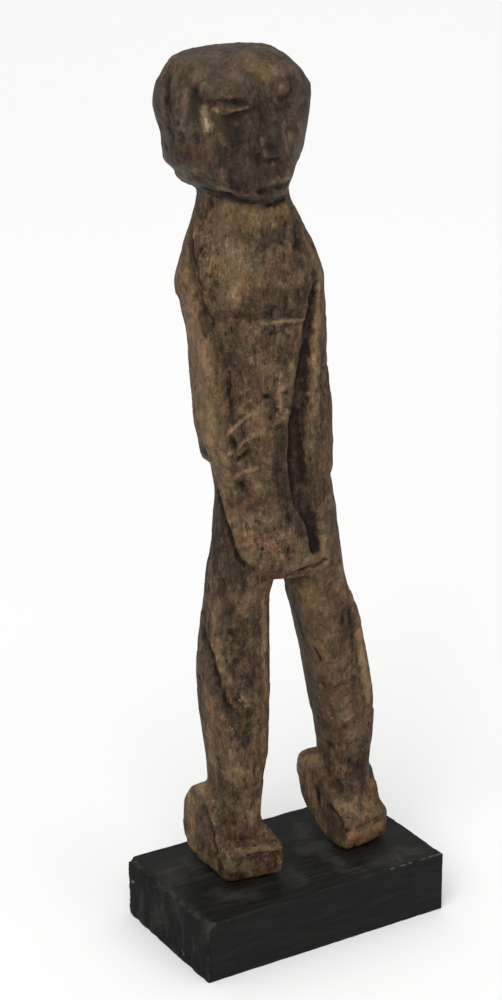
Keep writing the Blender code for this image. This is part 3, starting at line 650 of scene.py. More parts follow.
# A foot: its side profile with softened corners, carried across its width
# and drawn in towards its middle near both sides, by a quarter circle. Its
# toes are set back on one side and forward on the other.
def footPoints(profile, sides):
    middle, halfWidth, rounding, slant = sides
    ring = np.asarray(profile, float)
    for share in (0.12, 0.25):
        following = np.roll(ring, -1, 0)
        ring = np.stack([(1 - share) * ring + share * following, share * ring + (1 - share) * following], 1)
        ring = ring.reshape(-1, 2)
    centre = ring.mean(0)
    across = np.sin(np.linspace(-np.pi / 2, np.pi / 2, figure["footSlices"])) * halfWidth
    nearSide = np.clip((np.abs(across) - halfWidth + rounding) / rounding, 0, 1)
    inset = rounding * (1 - np.sqrt(1 - nearSide ** 2))
    reach = np.linalg.norm(ring - centre, axis=1)
    shrink = 1 - 0.8 * inset[:, None] / reach[None, :]
    yz = centre + (ring - centre)[None] * shrink[..., None]
    yz[..., 1] = np.maximum(yz[..., 1], 0)
    yz[..., 0] += slant * (across / halfWidth)[:, None] * (1 - ease(-6, 4, yz[..., 0]))
    px = np.broadcast_to((middle + across)[:, None], yz.shape[:2])
    return np.stack([px, yz[..., 0], yz[..., 1]], -1)


# A raised or sunk oval: how proud it is times a bell of the distance over the
# oval's half sizes.
def oval(x, y, proud, middleX, middleY, halfX, halfY):
    return proud * np.exp(-(((x - middleX) / halfX) ** 2 + ((y - middleY) / halfY) ** 2))


# A dome with a steep rim: how proud it is times the root of one less the
# squared distance over its half sizes.
def dome(x, y, proud, middleX, middleY, halfX, halfY):
    return proud * np.sqrt(np.clip(1 - ((x - middleX) / halfX) ** 2 - ((y - middleY) / halfY) ** 2, 0, 1))


# The face, in millimetres across it and over the jaw. Ovals and domes: how
# proud, middle across, middle height, half width, half height.
face = {
    "hollow": (1.3, 8.6, 23.6, 5.4, 3.4),
    "rightLid": (1.8, -9.6, 28.9, 4.6, 3.8),
    "socketOutside": (1.0, -15.4, 26.5, 1.1, 4.6),
    "socketInside": (0.7, -4.4, 27.0, 1.0, 3.0),
    "leftLid": (1.5, 6.6, 27.5, 2.5, 2.5),
    "nostril": (1.6, 2.0, 14.9, 1.3, 2.1),
    # lines: how proud, height, half thickness
    "brow": (0.7, 31.0, 2.0),
    "slit": (1.3, 26.4, 0.65),
    "lowerLid": (1.2, 24.6, 0.75),
    "muzzle": (1.3, 6.0, 4.6),
    "upperLip": (0.6, 1.8, 1.0),
    "lowerLip": (0.5, -1.8, 0.9),
    "mouth": (1.5, 4.0, 0.6),
    # ends of the lines, across the face
    "browEnds": (11, 17),
    "slitEnds": (-13.0, -6.0),
    "lowerLidEnds": (-12.8, -3.6),
    "mouthEnds": (-3.2, 6.0),
    "lipEnds": (-3.2, 5.0),
    "noseMiddle": 1.5,
    "noseEnds": (12.2, 24.0),    # over the jaw
}


# The face at a place across it and over the jaw: brow, sunk eyes, lids,
# slits, nose, mouth, added up in millimetres.
def faceRelief(across, height, strength):
    side = np.abs(across)
    proud, middle, half = face["brow"]
    brow = proud * bump(height, middle, half) * (1 - ease(*face["browEnds"], side))
    hollow = oval(side, height, *face["hollow"])
    rightLid = dome(across, height, *face["rightLid"]) * ease(26.2, 27, height)
    socket = oval(across, height, *face["socketOutside"]) + oval(across, height, *face["socketInside"])
    leftLid = dome(across, height, *face["leftLid"])
    depth, middle, half = face["slit"]
    slit = depth * bump(height, middle - 0.015 * (across + 9.6) ** 2, half)
    slit = slit * band(across, *face["slitEnds"], 0.8)
    proud, middle, half = face["lowerLid"]
    lower = proud * bump(height, middle + 0.018 * (across + 7) ** 2, half)
    lower = lower * band(across, *face["lowerLidEnds"], 1.2)
    fromLeftEye = np.hypot(across - face["leftLid"][1], height - face["leftLid"][2])
    lower = lower + 0.6 * bump(fromLeftEye, 4, 0.6) * ease(28, 26, height)
    fromNose = np.abs(across - face["noseMiddle"])
    noseHalf = 1.7 + 2.9 * (1 - ease(12.5, 24, height))
    noseProud = 0.7 + 2.6 * (1 - ease(12.5, 25, height))
    nose = noseProud * (1 - ease(noseHalf * 0.3, noseHalf * 1.2, fromNose))
    nose = nose * band(height, *face["noseEnds"], 1)
    nostrils = oval(fromNose, height, *face["nostril"])
    proud, middle, half = face["muzzle"]
    muzzle = proud * bump(height, middle, half) * (1 - ease(5, 11, np.abs(across - 1)))
    depth, middle, half = face["mouth"]
    mouthLine = middle - 0.02 * (across - face["noseMiddle"]) ** 2
    mouth = depth * bump(height, mouthLine, half) * band(across, *face["mouthEnds"], 1)
    lips = 0
    for proud, over, half in (face["upperLip"], face["lowerLip"]):
        lips = lips + proud * bump(height, mouthLine + over, half)
    lips = lips * band(across, *face["lipEnds"], 1.6)
    eyes = rightLid + leftLid + lower - hollow - socket - slit
    return strength * (brow + eyes + nose - nostrils + muzzle - mouth + lips)


# Rings of the head: superellipses, the face in front, a plainer one behind,
# and a strip for the ear on each side between two upright cuts.
def headPoints():
    table = np.asarray(figure["head"], float)
    rows, columns = figure["headRings"]
    share = np.linspace(0, 1, rows)
    height = np.interp(share, (0, 0.05, 0.1, 0.85, 1), (table[0, 0], -0.5, 1.2, 32.6, table[-1, 0]))
    halfWidth, halfDepth, power, shift = [column[:, None] for column in smoothTable(height, table).T]
    halfWidth = np.maximum(halfWidth, 0.05)
    halfDepth = np.maximum(halfDepth, 0.05)
    degrees = ringGrid(0, 1, (rows, columns))[1]
    angle = np.radians(degrees)
    radius = superRadius(angle, halfWidth, halfDepth, power)
    lateral = radius * np.sin(angle)
    tall = height[:, None] + 0 * radius
    facing = ease(-0.1, 0.4, np.cos(angle))
    behind = ease(-0.1, 0.4, -np.cos(angle))
    relief = faceRelief(lateral, tall, 1.0) * facing + faceRelief(-lateral, tall, 0.7) * behind
    aside = np.where(degrees < 0, -degrees - 3, degrees - 12)
    ear = 0.5 * bump(aside, 70, 6) - 1.0 * bump(aside, 58, 3.0) - 1.0 * bump(aside, 80, 3.0)
    relief = relief + ear * band(tall, 18, 28, 4)
    radius = radius + relief * (1 - ease(31, 34.5, tall)) * ease(-1, 1.5, tall)
    tall = tall + figure["jawRise"] * np.sin(angle) ** 2 * (1 - ease(1, 13, tall))
    turn = radians(figure["headTurn"])
    lean = radians(figure["headLean"])
    across = radius * np.sin(angle)
    along = -radius * np.cos(angle)
    leanAcross = (across + shift) * np.cos(lean) - tall * np.sin(lean)
    leanUp = across * np.sin(lean) + tall * np.cos(lean)
    px = figure["headMiddle"][0] + leanAcross * np.cos(turn) - along * np.sin(turn)
    py = figure["headMiddle"][1] + leanAcross * np.sin(turn) + along * np.cos(turn)
    return np.stack([px, py, figure["jaw"] + leanUp], -1)


# Places in the head's own directions, turned and leant back from the world's:
# across the head, forward, over the jaw.
def headPlaces(points):
    turn = radians(figure["headTurn"])
    lean = radians(figure["headLean"])
    x = points[:, 0] - figure["headMiddle"][0]
    y = points[:, 1] - figure["headMiddle"][1]
    up = points[:, 2] - figure["jaw"]
    leanAcross = x * np.cos(turn) + y * np.sin(turn)
    forward = x * np.sin(turn) - y * np.cos(turn)
    side = leanAcross * np.cos(lean) + up * np.sin(lean)
    tall = up * np.cos(lean) - leanAcross * np.sin(lean)
    return side, forward, tall


# Points and faces of a closed body from its rings, the two ends closed by
# fans to the ends' own middles. The first corner's number is start.
def closedBody(rings, start):
    rows, columns = rings.shape[:2]
    points = np.vstack([rings.reshape(-1, 3), rings[0].mean(0), rings[-1].mean(0)])
    i = np.arange(columns)
    j = (i + 1) % columns
    low = (np.arange(rows - 1) * columns)[:, None]
    quads = np.stack([low + i, low + j, low + columns + j, low + columns + i], -1).reshape(-1, 4)
    end = rows * columns
    top = (rows - 1) * columns
    fans = np.vstack([np.stack([j, i, np.full(columns, end)], -1),
                      np.stack([top + i, top + j, np.full(columns, end + 1)], -1)])
    return points, quads + start, fans + start


# A mesh object from points in millimetres and lists of faces.
def meshObject(name, points, faceLists):
    mesh = bpy.data.meshes.new(name)
    mesh.vertices.add(len(points))
    mesh.vertices.foreach_set("co", (points * mm).astype(np.float32).ravel())
    sizes = np.concatenate([np.full(len(faces), faces.shape[1]) for faces in faceLists])
    corners = np.concatenate([faces.ravel() for faces in faceLists])
    mesh.loops.add(len(corners))
    mesh.loops.foreach_set("vertex_index", corners.astype(np.int32))
    mesh.polygons.add(len(sizes))
    mesh.polygons.foreach_set("loop_start", (np.cumsum(sizes) - sizes).astype(np.int32))
    mesh.update(calc_edges=True)
    mesh.validate()
    item = bpy.data.objects.new(name, mesh)
    bpy.context.scene.collection.objects.link(item)
    return item


# Points, faces and edges of the evaluated mesh, points in millimetres.
def readMesh(item):
    mesh = item.evaluated_get(bpy.context.evaluated_depsgraph_get()).to_mesh()
    points = np.empty(len(mesh.vertices) * 3, np.float32)
    mesh.vertices.foreach_get("co", points)
    corners = np.empty(len(mesh.loops), np.int32)
    mesh.loops.foreach_get("vertex_index", corners)
    edges = np.empty(len(mesh.edges) * 2, np.int32)
    mesh.edges.foreach_get("vertices", edges)
    quads = corners.reshape(-1, 4)
    return points.reshape(-1, 3).astype(float) / mm, quads, edges.reshape(-1, 2)


# Mean of each point's neighbours along the edges.
def neighbourMean(values, edges):
    count = np.bincount(edges.ravel(), minlength=len(values))
    columns = []
    for column in np.atleast_2d(values.T):
        total = np.bincount(edges[:, 0], column[edges[:, 1]], len(values))
        total += np.bincount(edges[:, 1], column[edges[:, 0]], len(values))
        columns.append(total / np.maximum(count, 1))
    return np.stack(columns, -1).reshape(values.shape)


# Normals of the points: the sum of the cross products of the faces' diagonals.
def pointNormals(points, quads):
    a, b, c, d = [points[quads[:, k]] for k in range(4)]
    cross = np.cross(c - a, d - b)
    normals = np.stack([sum(np.bincount(quads[:, k], cross[:, axis], len(points)) for k in range(4))
                        for axis in range(3)], -1)
    return normals / np.maximum(np.linalg.norm(normals, axis=1, keepdims=True), 1e-9)


# The joined carving before its finer cuts: closed bodies merged on a lattice
# of small cells, then twice moved towards the neighbours' mean and back.
def joinedCarving():
    bodies = [trunkPoints(), headPoints(), legPoints(figure["rightLeg"], -1), legPoints(figure["leftLeg"], 1),
              footPoints(figure["rightFoot"], figure["rightFootSides"]),
              footPoints(figure["leftFoot"], figure["leftFootSides"])]
    points = []
    faces = []
    start = 0
    for rings in bodies:
        body, quads, fans = closedBody(rings, start)
        points.append(body)
        faces += [quads, fans]
        start += len(body)
    rough = meshObject("rough", np.vstack(points), faces)
    remesh = rough.modifiers.new("join", "REMESH")
    remesh.mode = "VOXEL"
    remesh.voxel_size = figure["voxel"] * mm
    joined, quads, edges = readMesh(rough)
    bpy.data.objects.remove(rough)
    for turn in range(2):
        for share in figure["evenOut"]:
            joined = joined + share * (neighbourMean(joined, edges) - joined)
    return joined, quads, edges


points, quads, edges = joinedCarving()
print("carving joined:", len(points), "points", len(quads), "faces")
normals = pointNormals(points, quads)
placed = carryOver(marks, points, quads, figure["overFloor"])

# How far each point belongs to the head, above the jaw line, and its angle
# round the trunk.
side, forward, tall = headPlaces(points)
overJaw = tall - figure["jawRise"] * np.sin(np.arctan2(side, forward)) ** 2
height = points[:, 2]
isHead = ease(-1.7, -0.7, overJaw) * ease(186, 190, height)
trunkX, trunkY, _, _, trunkTurn = smoothTable(height, figure["trunk"]).T
trunkTurn = np.radians(trunkTurn)
dx = points[:, 0] - trunkX
dy = points[:, 1] - trunkY
across = dx * np.cos(trunkTurn) + dy * np.sin(trunkTurn)
ahead = dx * np.sin(trunkTurn) - dy * np.cos(trunkTurn)
trunkAngle = np.degrees(np.arctan2(across, ahead))

# Finer cuts, in millimetres. The noises: seed, cell size, depth and stretch.
finer = {
    "facets": ((3, 4.2, 0.16, 0.35), (8, 2.0, 0.06, 0.35)),
    "headFacets": 0.55,          # what the head keeps of them
    "furrows": ((21, 0.8, 0.06, 0.12), (23, 1.9, 0.09, 0.2)),
    "waves": (31, 9.0, 0.22, 1),
    "pits": 0.35,
    "cut": 1.1,
    "cutSpread": 1.7,
    "ridge": 1.1,
    "rough": 0.45,
    "sunk": 0.12,
    # depth of a full crease, seen over one and over many rounds of neighbours
    "nearDepth": 0.06,
    "wideDepth": 0.5,
    "wideRounds": 10,
}

# Finer shape: flat knife cuts, long grain furrows, pits and the marked cuts.
facets = sum(knifeCuts(points * (1, 1, stretch), seed, size) * depth
             for seed, size, depth, stretch in finer["facets"])
facets = facets * (1 - (1 - finer["headFacets"]) * isHead)
furrows = sum(smoothNoise(points * (1, 1, stretch), seed, size) * depth
              for seed, size, depth, stretch in finer["furrows"])
seed, size, depth, stretch = finer["waves"]
waves = layeredNoise(points * (1, 1, stretch), seed, size) * depth
pits = ease(0.42, 0.8, smoothNoise(points * (1, 1, 0.5), 41, 1.3)) * ease(0, 0.5, smoothNoise(points, 43, 11))
cuts = np.zeros(len(points))
moved = ragged(points, 0.25, 0.15)
for width, strength, path in placed["cut"]:
    spread = pathDistance(moved, path, width * finer["cutSpread"])
    cuts = np.maximum(cuts, strength * finer["cut"] * np.clip(1 - spread, 0, 1))
ridges = finer["ridge"] * markField(points, "ridge", 0.8, 0.25, 0.15)
roughness = markField(points, "rough", 0.6) * (smoothNoise(points, 47, 1.3) * finer["rough"] - 0.1)
shift = facets + furrows + waves - finer["pits"] * pits - cuts + ridges + roughness - finer["sunk"]
points = points + normals * shift[:, None]

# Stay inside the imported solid's box, the soles flat on their plane.
low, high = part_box("figure")
low = np.array(low) / mm - (0, 0, figure["overFloor"])
high = np.array(high) / mm - (0, 0, figure["overFloor"])
low[2] = 0
margin = figure["boxMargin"]
points = np.clip(points, low + (margin, margin, 0), high - margin)
placed = carryOver(marks, points, quads, figure["overFloor"])

# How hollow or sharp each point is, at two scales: how far its neighbours'
# mean lies along its normal, over a full depth in millimetres.
normals = pointNormals(points, quads)
near = neighbourMean(points, edges)
wide = near
for turn in range(finer["wideRounds"]):
    wide = neighbourMean(wide, edges)
hollowNear = ((near - points) * normals).sum(1) / finer["nearDepth"]
hollowWide = ((wide - points) * normals).sum(1) / finer["wideDepth"]
# painted shade for the hollows and a painted highlight for the sharp edges, used in the tone below
crease = np.clip(hollowWide, 0, 1) * 0.7 + np.clip(hollowNear, 0, 1) * 0.3
sharp = np.clip(-hollowWide, 0, 1) * 0.7 + np.clip(-hollowNear, 0, 1) * 0.3
print("relief cut")

# The tone, 0 for black-brown to 1 for tan: where it starts, how far each thing moves it, and what marks draw
# it to.
# Crease is painted shade in the hollows, sharp a painted highlight on edges, underJaw painted shadow under
# the jaw, and sheen a painted highlight.
toneOf = {
    "start": 0.37,
    "light": 0.17,
    "dark": -0.20,
    "arms": 0.06,
    "head": -0.06,
    "blotches": 0.10,
    "streaks": 0.06,
    "patches": 0.09,
    # crease: painted shade in hollows; sharp: painted highlight on edges
    "crease": -0.20,
    "sharp": 0.13,
    # underJaw: painted shadow under the jaw
    "underJaw": -0.16,
    "worn": 0.68,
    # sheen: the tone of the painted highlight
    "sheen": 0.74,
    "stainAndShadow": 0.15,
}

# Finish masks, 0 to 1: tone with its painted shade and highlights, head soot, warm, yellowish and ashen tints
# with the grey of a painted highlight, pale bare scratches and painted glints, roughness, upright lines, calm
# wood, and gloss with its painted sheen.
blotches = layeredNoise(points * (1, 1, 0.6), 61, 8.0)
movers = {
    "light": markField(points, "light", 1, 1.8, 0.5),
    "dark": markField(points, "dark", 1, 1.8, 0.5),
    "arms": band(trunkAngle, -134, -52, 6) * band(height, 119, 172, 3),
    "head": isHead,
    "blotches": blotches,
    "streaks": smoothNoise(points * (1, 1, 0.07), 67, 1.2),
    "patches": layeredNoise(points * (1, 1, 0.7), 69, 2.6),
}
stainedAndShaded = markField(points, "stainAndShadow")
glossAndSheen = markField(points, "sheen", 1)
tone = toneOf["start"] + sum(toneOf[name] * field for name, field in movers.items())
# wear, with painted light on the neck and a painted highlight on the left eye
tone = tone + markField(points, "worn", 0.6) * (toneOf["worn"] - tone)
# painted highlight on the chest and the left eye
tone = tone + 0.75 * glossAndSheen * (toneOf["sheen"] - tone)
# stains, and painted shadows under the jaw, the right arm, the chest's edge and the toes
tone = tone + stainedAndShaded * (toneOf["stainAndShadow"] - tone)
# painted shade in the hollows and a painted highlight on the sharp edges
tone = tone + toneOf["crease"] * crease + toneOf["sharp"] * sharp
# painted shadow on the underside of the jaw
tone = tone + toneOf["underJaw"] * isHead * (1 - ease(0.6, 2.6, overJaw))
masks = {
    "tone": tone,
    "soot": isHead,
    "warm": markField(points, "warm", 1) + 0.2 * blotches,
    "olive": markField(points, "olive", 0.9),
    "grey": markField(points, "grey", 0.9),
    "pale": markField(points, "pale", 0.5, 0.3, 0.3),
    "rough": markField(points, "rough", 0.6),
    "lined": 0.35 + markField(points, "lined", 0.9),
    "calm": 1 - 0.5 * stainedAndShaded - 0.45 * markField(points, "smooth", 0.9),
    "glossAndSheen": glossAndSheen,
}


# A node of a material's tree with its settings and plain input values.
def addNode(tree, kind, settings=None, values=None):
    node = tree.nodes.new(kind)
    for key, value in (settings or {}).items():
        setattr(node, key, value)
    for key, value in (values or {}).items():
        node.inputs[key].default_value = value
    return node


# Links the output of one node, or gives a number, to another node's input.
def feed(tree, source, target):
    if isinstance(source, (int, float)):
        target.default_value = source
    else:
        tree.links.new(source, target)


# One arithmetic step between two sources.
def calc(tree, operation, a, b, clamp=False):
    node = addNode(tree, "ShaderNodeMath", {"operation": operation, "use_clamp": clamp})
    feed(tree, a, node.inputs[0])
    feed(tree, b, node.inputs[1])
    return node.outputs[0]


# The sum of two sources.
def plus(tree, a, b):
    return calc(tree, "ADD", a, b)


# One source less another.
def minus(tree, a, b):
    return calc(tree, "SUBTRACT", a, b)


# The product of two sources.
def times(tree, a, b):
    return calc(tree, "MULTIPLY", a, b)


# Noise from 0 to 1 over the piece's own millimetres, stretched per axis.
def noiseOver(tree, millimetres, size, stretch, layers, harshness):
    scaled = addNode(tree, "ShaderNodeVectorMath", {"operation": "MULTIPLY"})
    tree.links.new(millimetres, scaled.inputs[0])
    scaled.inputs[1].default_value = stretch
    noise = addNode(tree, "ShaderNodeTexNoise", None,
                    {"Scale": 1 / size, "Detail": layers, "Roughness": harshness})
    tree.links.new(scaled.outputs[0], noise.inputs["Vector"])
    return noise.outputs["Fac"]


# A mask pushed about by noise, then hardened: eased from low to high.
def harden(tree, mask, noise, amount, low, high):
    total = plus(tree, mask, times(tree, minus(tree, noise, 0.5), amount))
    node = addNode(tree, "ShaderNodeMapRange", {"interpolation_type": "SMOOTHSTEP"},
                   {"From Min": low, "From Max": high})
    tree.links.new(total, node.inputs["Value"])
    return node.outputs["Result"]


# Colour a turned into colour b by a factor.
def blend(tree, factor, a, b, mode="MIX"):
    node = addNode(tree, "ShaderNodeMix", {"data_type": "RGBA", "blend_type": mode})
    feed(tree, factor, node.inputs["Factor"])
    for source, slot in ((a, 6), (b, 7)):
        if isinstance(source, tuple):
            node.inputs[slot].default_value = (*source, 1.0)
        else:
            tree.links.new(source, node.inputs[slot])
    return node.outputs[2]


# A mask by its name, as stored on the piece's points.
def maskOf(tree, name):
    return addNode(tree, "ShaderNodeAttribute", {"attribute_name": name}).outputs["Fac"]


# A new material: its tree, its shader and the piece's place in millimetres.
def startMaterial(name):
    made = bpy.data.materials.new(name)
    made.use_nodes = True
    tree = made.node_tree
    shader = tree.nodes["Principled BSDF"]
    place = addNode(tree, "ShaderNodeTexCoord")
    scaled = addNode(tree, "ShaderNodeVectorMath", {"operation": "SCALE"}, {"Scale": 1000.0})
    tree.links.new(place.outputs["Object"], scaled.inputs[0])
    return made, tree, shader, scaled.outputs[0]


# Closes a material: its colour, roughness and specular level, and its bumps
# one on another, each a noise with its strength and its distance in metres.
def finishMaterial(tree, shader, colour, roughness, specular, noises, bumps):
    feed(tree, colour, shader.inputs["Base Color"])
    feed(tree, roughness, shader.inputs["Roughness"])
    shader.inputs["Specular IOR Level"].default_value = specular
    bumped = shader.inputs["Normal"]
    for name, (strength, distance) in bumps.items():
        node = addNode(tree, "ShaderNodeBump", None, {"Strength": strength, "Distance": distance})
        tree.links.new(noises[name], node.inputs["Height"])
        tree.links.new(node.outputs["Normal"], bumped)
        bumped = node.inputs["Normal"]


# A colour ramp, straight between its steps: each a place from 0 to 1 and a colour.
def ramp(tree, source, steps):
    node = addNode(tree, "ShaderNodeValToRGB")
    stops = node.color_ramp.elements
    while len(stops) < len(steps):
        stops.new(0.5)
    for stop, (place, colour) in zip(stops, steps):
        stop.position = place
        stop.color = (*colour, 1.0)
    tree.links.new(source, node.inputs["Fac"])
    return node.outputs["Color"]


wood = {
    "steps": (
        (0.0, (0.010, 0.006, 0.004)), (0.1, (0.025, 0.016, 0.010)), (0.2, (0.039, 0.026, 0.017)),
        (0.35, (0.070, 0.045, 0.027)), (0.5, (0.108, 0.070, 0.041)), (0.65, (0.158, 0.102, 0.058)),
        (0.8, (0.212, 0.141, 0.080)), (1.0, (0.285, 0.197, 0.122)),
    ),
    "headSteps": (
        (0.0, (0.010, 0.007, 0.005)), (0.1, (0.023, 0.016, 0.011)), (0.2, (0.036, 0.026, 0.018)),
        (0.35, (0.064, 0.044, 0.030)), (0.5, (0.098, 0.070, 0.048)), (0.65, (0.136, 0.102, 0.072)),
        (0.8, (0.184, 0.142, 0.098)), (1.0, (0.260, 0.205, 0.140)),
    ),
    "warm": (1.10, 0.96, 0.86),       # tints of rusty, yellowish and ashen patches
    "olive": (1.04, 0.95, 0.72),
    # grey also tints the painted highlight on the chest
    "grey": (0.95, 1.00, 1.08),
    "reddish": (1.00, 0.87, 0.79),    # tints of the small mottling
    "greenish": (0.84, 0.88, 0.80),
    # bare wood of chips and scratches, and the colour of the painted glints on the chest and left eye
    "bareWoodAndGlint": (0.32, 0.27, 0.18),       # fresh wood in a chip
    "glint": (0.50, 0.45, 0.40),
    "roughness": 0.62,
    "shine": 0.25,                    # what gloss takes off the roughness
    "specular": 0.10,
    # size in millimetres, stretch, layers and harshness of each noise
    "noises": {
        "broad": (4.6, (1, 1, 0.8), 5, 0.62),
        "mottle": (1.4, (1, 1, 0.7), 5, 0.68),
        "grain": (0.55, (1, 1, 0.18), 3, 0.6),
        "fine": (0.45, (1, 1, 0.8), 3, 0.7),
        "lines": (1.0, (1, 1, 0.09), 3, 0.65),
        "hue": (4.0, (1, 1, 0.7), 5, 0.65),
    },
    # how far each noise moves the tone, and how far scabs, pores, lines and flecks do
    "wander": {"broad": 0.42, "mottle": 0.62, "grain": 0.42, "fine": 0.45},
    "scab": 0.09,
    "pores": 0.16,
    "lines": 0.22,
    "flecks": 0.13,
    # strength and distance in metres of each bump, the outermost first
    "bumps": {"fine": (0.7, 0.0002), "mottle": (0.9, 0.0005), "grain": (0.4, 0.0002)},
}


# Old wood: black-brown to tan along one ramp, its place on the ramp moved by
# noise of several sizes, by grain, dark pores and thin upright lines.
def woodMaterial():
    made, tree, shader, place = startMaterial("carvedWood")
    names = ("tone", "soot", "rough", "calm", "lined", "glossAndSheen")
    tone, soot, rough, calm, lined, glossAndSheen = [maskOf(tree, name) for name in names]
    noises = {name: noiseOver(tree, place, *values) for name, values in wood["noises"].items()}
    broad, mottle, grain, fine = [noises[name] for name in ("broad", "mottle", "grain", "fine")]
    wander = 0.0
    for name, amount in wood["wander"].items():
        wander = plus(tree, wander, times(tree, minus(tree, noises[name], 0.5), amount))
    busy = plus(tree, times(tree, rough, 0.7), minus(tree, calm, times(tree, soot, 0.35)))
    level = plus(tree, tone, times(tree, wander, busy))
    scab = harden(tree, broad, mottle, 0.5, 0.50, 0.58)
    level = plus(tree, level, times(tree, minus(tree, scab, 0.5), wood["scab"]))
    pores = harden(tree, mottle, fine, 0.6, 0.39, 0.30)
    poreDepth = plus(tree, wood["pores"], times(tree, rough, wood["pores"]))
    level = minus(tree, level, times(tree, pores, poreDepth))
    lines = harden(tree, noises["lines"], broad, 0.3, 0.40, 0.32)
    level = minus(tree, level, times(tree, lines, times(tree, lined, wood["lines"])))
    flecks = harden(tree, mottle, fine, 0.9, 0.62, 0.72)
    level = calc(tree, "ADD", level, times(tree, flecks, wood["flecks"]), True)
    colour = blend(tree, soot, ramp(tree, level, wood["steps"]), ramp(tree, level, wood["headSteps"]))
    hue = harden(tree, noises["hue"], mottle, 0.6, 0.40, 0.60)
    colour = blend(tree, 1.0, colour, blend(tree, hue, wood["reddish"], wood["greenish"]), "MULTIPLY")
    for name in ("warm", "olive", "grey"):
        tinted = harden(tree, maskOf(tree, name), mottle, 0.9, 0.25, 0.9)
        colour = blend(tree, times(tree, tinted, 0.9), colour, wood[name], "MULTIPLY")
    # painted glints where the sheen lies
    glint = times(tree, harden(tree, fine, grain, 0.2, 0.66, 0.74), glossAndSheen)
    colour = blend(tree, glint, colour, wood["glint"])
    # pale bare wood, and painted glints on the chest and the left eye
    pale = harden(tree, maskOf(tree, "pale"), fine, 0.9, 0.40, 0.95)
    colour = blend(tree, times(tree, pale, 0.85), colour, wood["bareWoodAndGlint"])
    shine = times(tree, plus(tree, glossAndSheen, times(tree, soot, 0.5)), wood["shine"])
    dull = minus(tree, wood["roughness"], shine)
    finishMaterial(tree, shader, colour, dull, wood["specular"], noises, wood["bumps"])
    return made


# Stores masks on a mesh's points by name, each cut off at 0 and 1.
def storeMasks(item, masks):
    for name, values in masks.items():
        layer = item.data.attributes.new(name, "FLOAT", "POINT")
        layer.data.foreach_set("value", np.clip(values, 0, 1).astype(np.float32))


carving = meshObject("carving", points + (0, 0, figure["overFloor"]), [quads])
carving.data.shade_smooth()
storeMasks(carving, masks)
carving.data.materials.append(woodMaterial())
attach(carving, "root")
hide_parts("figure")
print("carving finished:", sum(len(p.vertices) - 2 for p in carving.data.polygons), "triangles")

# The block, in millimetres: the middle of its underside is the origin.
block = {
    "length": 78.0,
    "depth": 45.0,
    "height": 18.0,
    "edge": 0.5,                 # rounding of the edges
    "lowEdge": 0.2,              # rounding of the lower edges
    "wornEdge": 1.6,             # rounding of the left end's top edge
    "wornShare": 0.55,
    "knock": 0.5,
    "sawMarks": 0.05,
    "crackAt": 27.0,
    "crackHalf": 0.45,
    "crackDepth": 0.5,
    "brushMarks": 0.06,
    "stepsAlong": 150,           # points along the front, along an end
    "stepsAcross": 88,
    "paint": (0.0055, 0.0056, 0.0052),
    "rubbed": (0.034, 0.033, 0.029),
    "smudge": (0.046, 0.040, 0.033),
    "chipped": (0.14, 0.14, 0.13),
    "roughness": 0.5,
    "specular": 0.09,
    # size in millimetres, stretch, layers and harshness of each noise
    "noises": {
        "strokes": (1.1, (0.09, 1, 1), 4, 0.6),
        "cloud": (6.0, (0.6, 1, 1), 4, 0.6),
        "fine": (0.5, (1, 1, 1), 4, 0.7),
    },
    "bumps": {"fine": (0.35, 0.0002), "strokes": (0.4, 0.0002)},
}
halfX = block["length"] / 2
halfY = block["depth"] / 2
topZ = block["height"]


# The block's surface: rings from the underside's middle out to its edge, up
# the sides and in over the top. Each ring is a rectangle, drawn in by the edge
# rounding where it turns.
def blockRings():
    stepX = np.linspace(-1, 1, block["stepsAlong"])
    stepY = np.linspace(-1, 1, block["stepsAcross"])
    half = np.vstack([np.stack([stepX, 0 * stepX - 1], -1)[:-1], np.stack([0 * stepY + 1, stepY], -1)[:-1]])
    around = np.vstack([half, -half])
    turn = np.linspace(0, np.pi / 2, 5)
    edge = block["edge"]
    lowEdge = block["lowEdge"]
    rows = [(share, 0, 0) for share in np.linspace(0.02, 0.95, 8)]
    rows += [(1, lowEdge * (1 - np.sin(t)), lowEdge * (1 - np.cos(t))) for t in turn]
    rows += [(1, 0, z) for z in np.linspace(1, topZ - 1, 33)]
    rows += [(1, edge * (1 - np.cos(t)), topZ - edge * (1 - np.sin(t))) for t in turn]
    rows += [(share, 0, topZ) for share in np.linspace(0.97, 0.012, 46)]
    rings = []
    for share, inset, z in rows:
        reach = np.array([halfX, halfY]) - inset
        if share < 1:
            reach = (np.array([halfX, halfY]) - edge) * share
        rings.append(np.column_stack([around * reach, np.full(len(around), z)]))
    return np.stack(rings)


shape, blockQuads, blockFans = closedBody(blockRings(), 0)
x, y, z = shape.T
# distances to the faces, and to the edges between them
toLeft = x + halfX
toTop = topZ - z
toEnds = np.minimum(toLeft, halfX - x)
toFront = y + halfY
toLongSides = np.minimum(toFront, halfY - y)
sides = np.minimum(toEnds, toLongSides)
ordered = np.sort(np.stack([toEnds, toLongSides, np.minimum(toTop, z)], 1), 1)
toEdge = np.hypot(ordered[:, 0], ordered[:, 1])
leftFace = 1 - ease(0.2, 1.4, toLeft)
# worn left top edge: both coordinates drawn in along a quarter circle
wornBy = block["wornEdge"] * (1 + 0.5 * layeredNoise(shape, 71, 4.0))
corner = block["wornShare"] * wornBy * np.clip(1 - toLeft / wornBy, 0, 1) * np.clip(1 - toTop / wornBy, 0, 1)
x = x + corner
z = z - corner
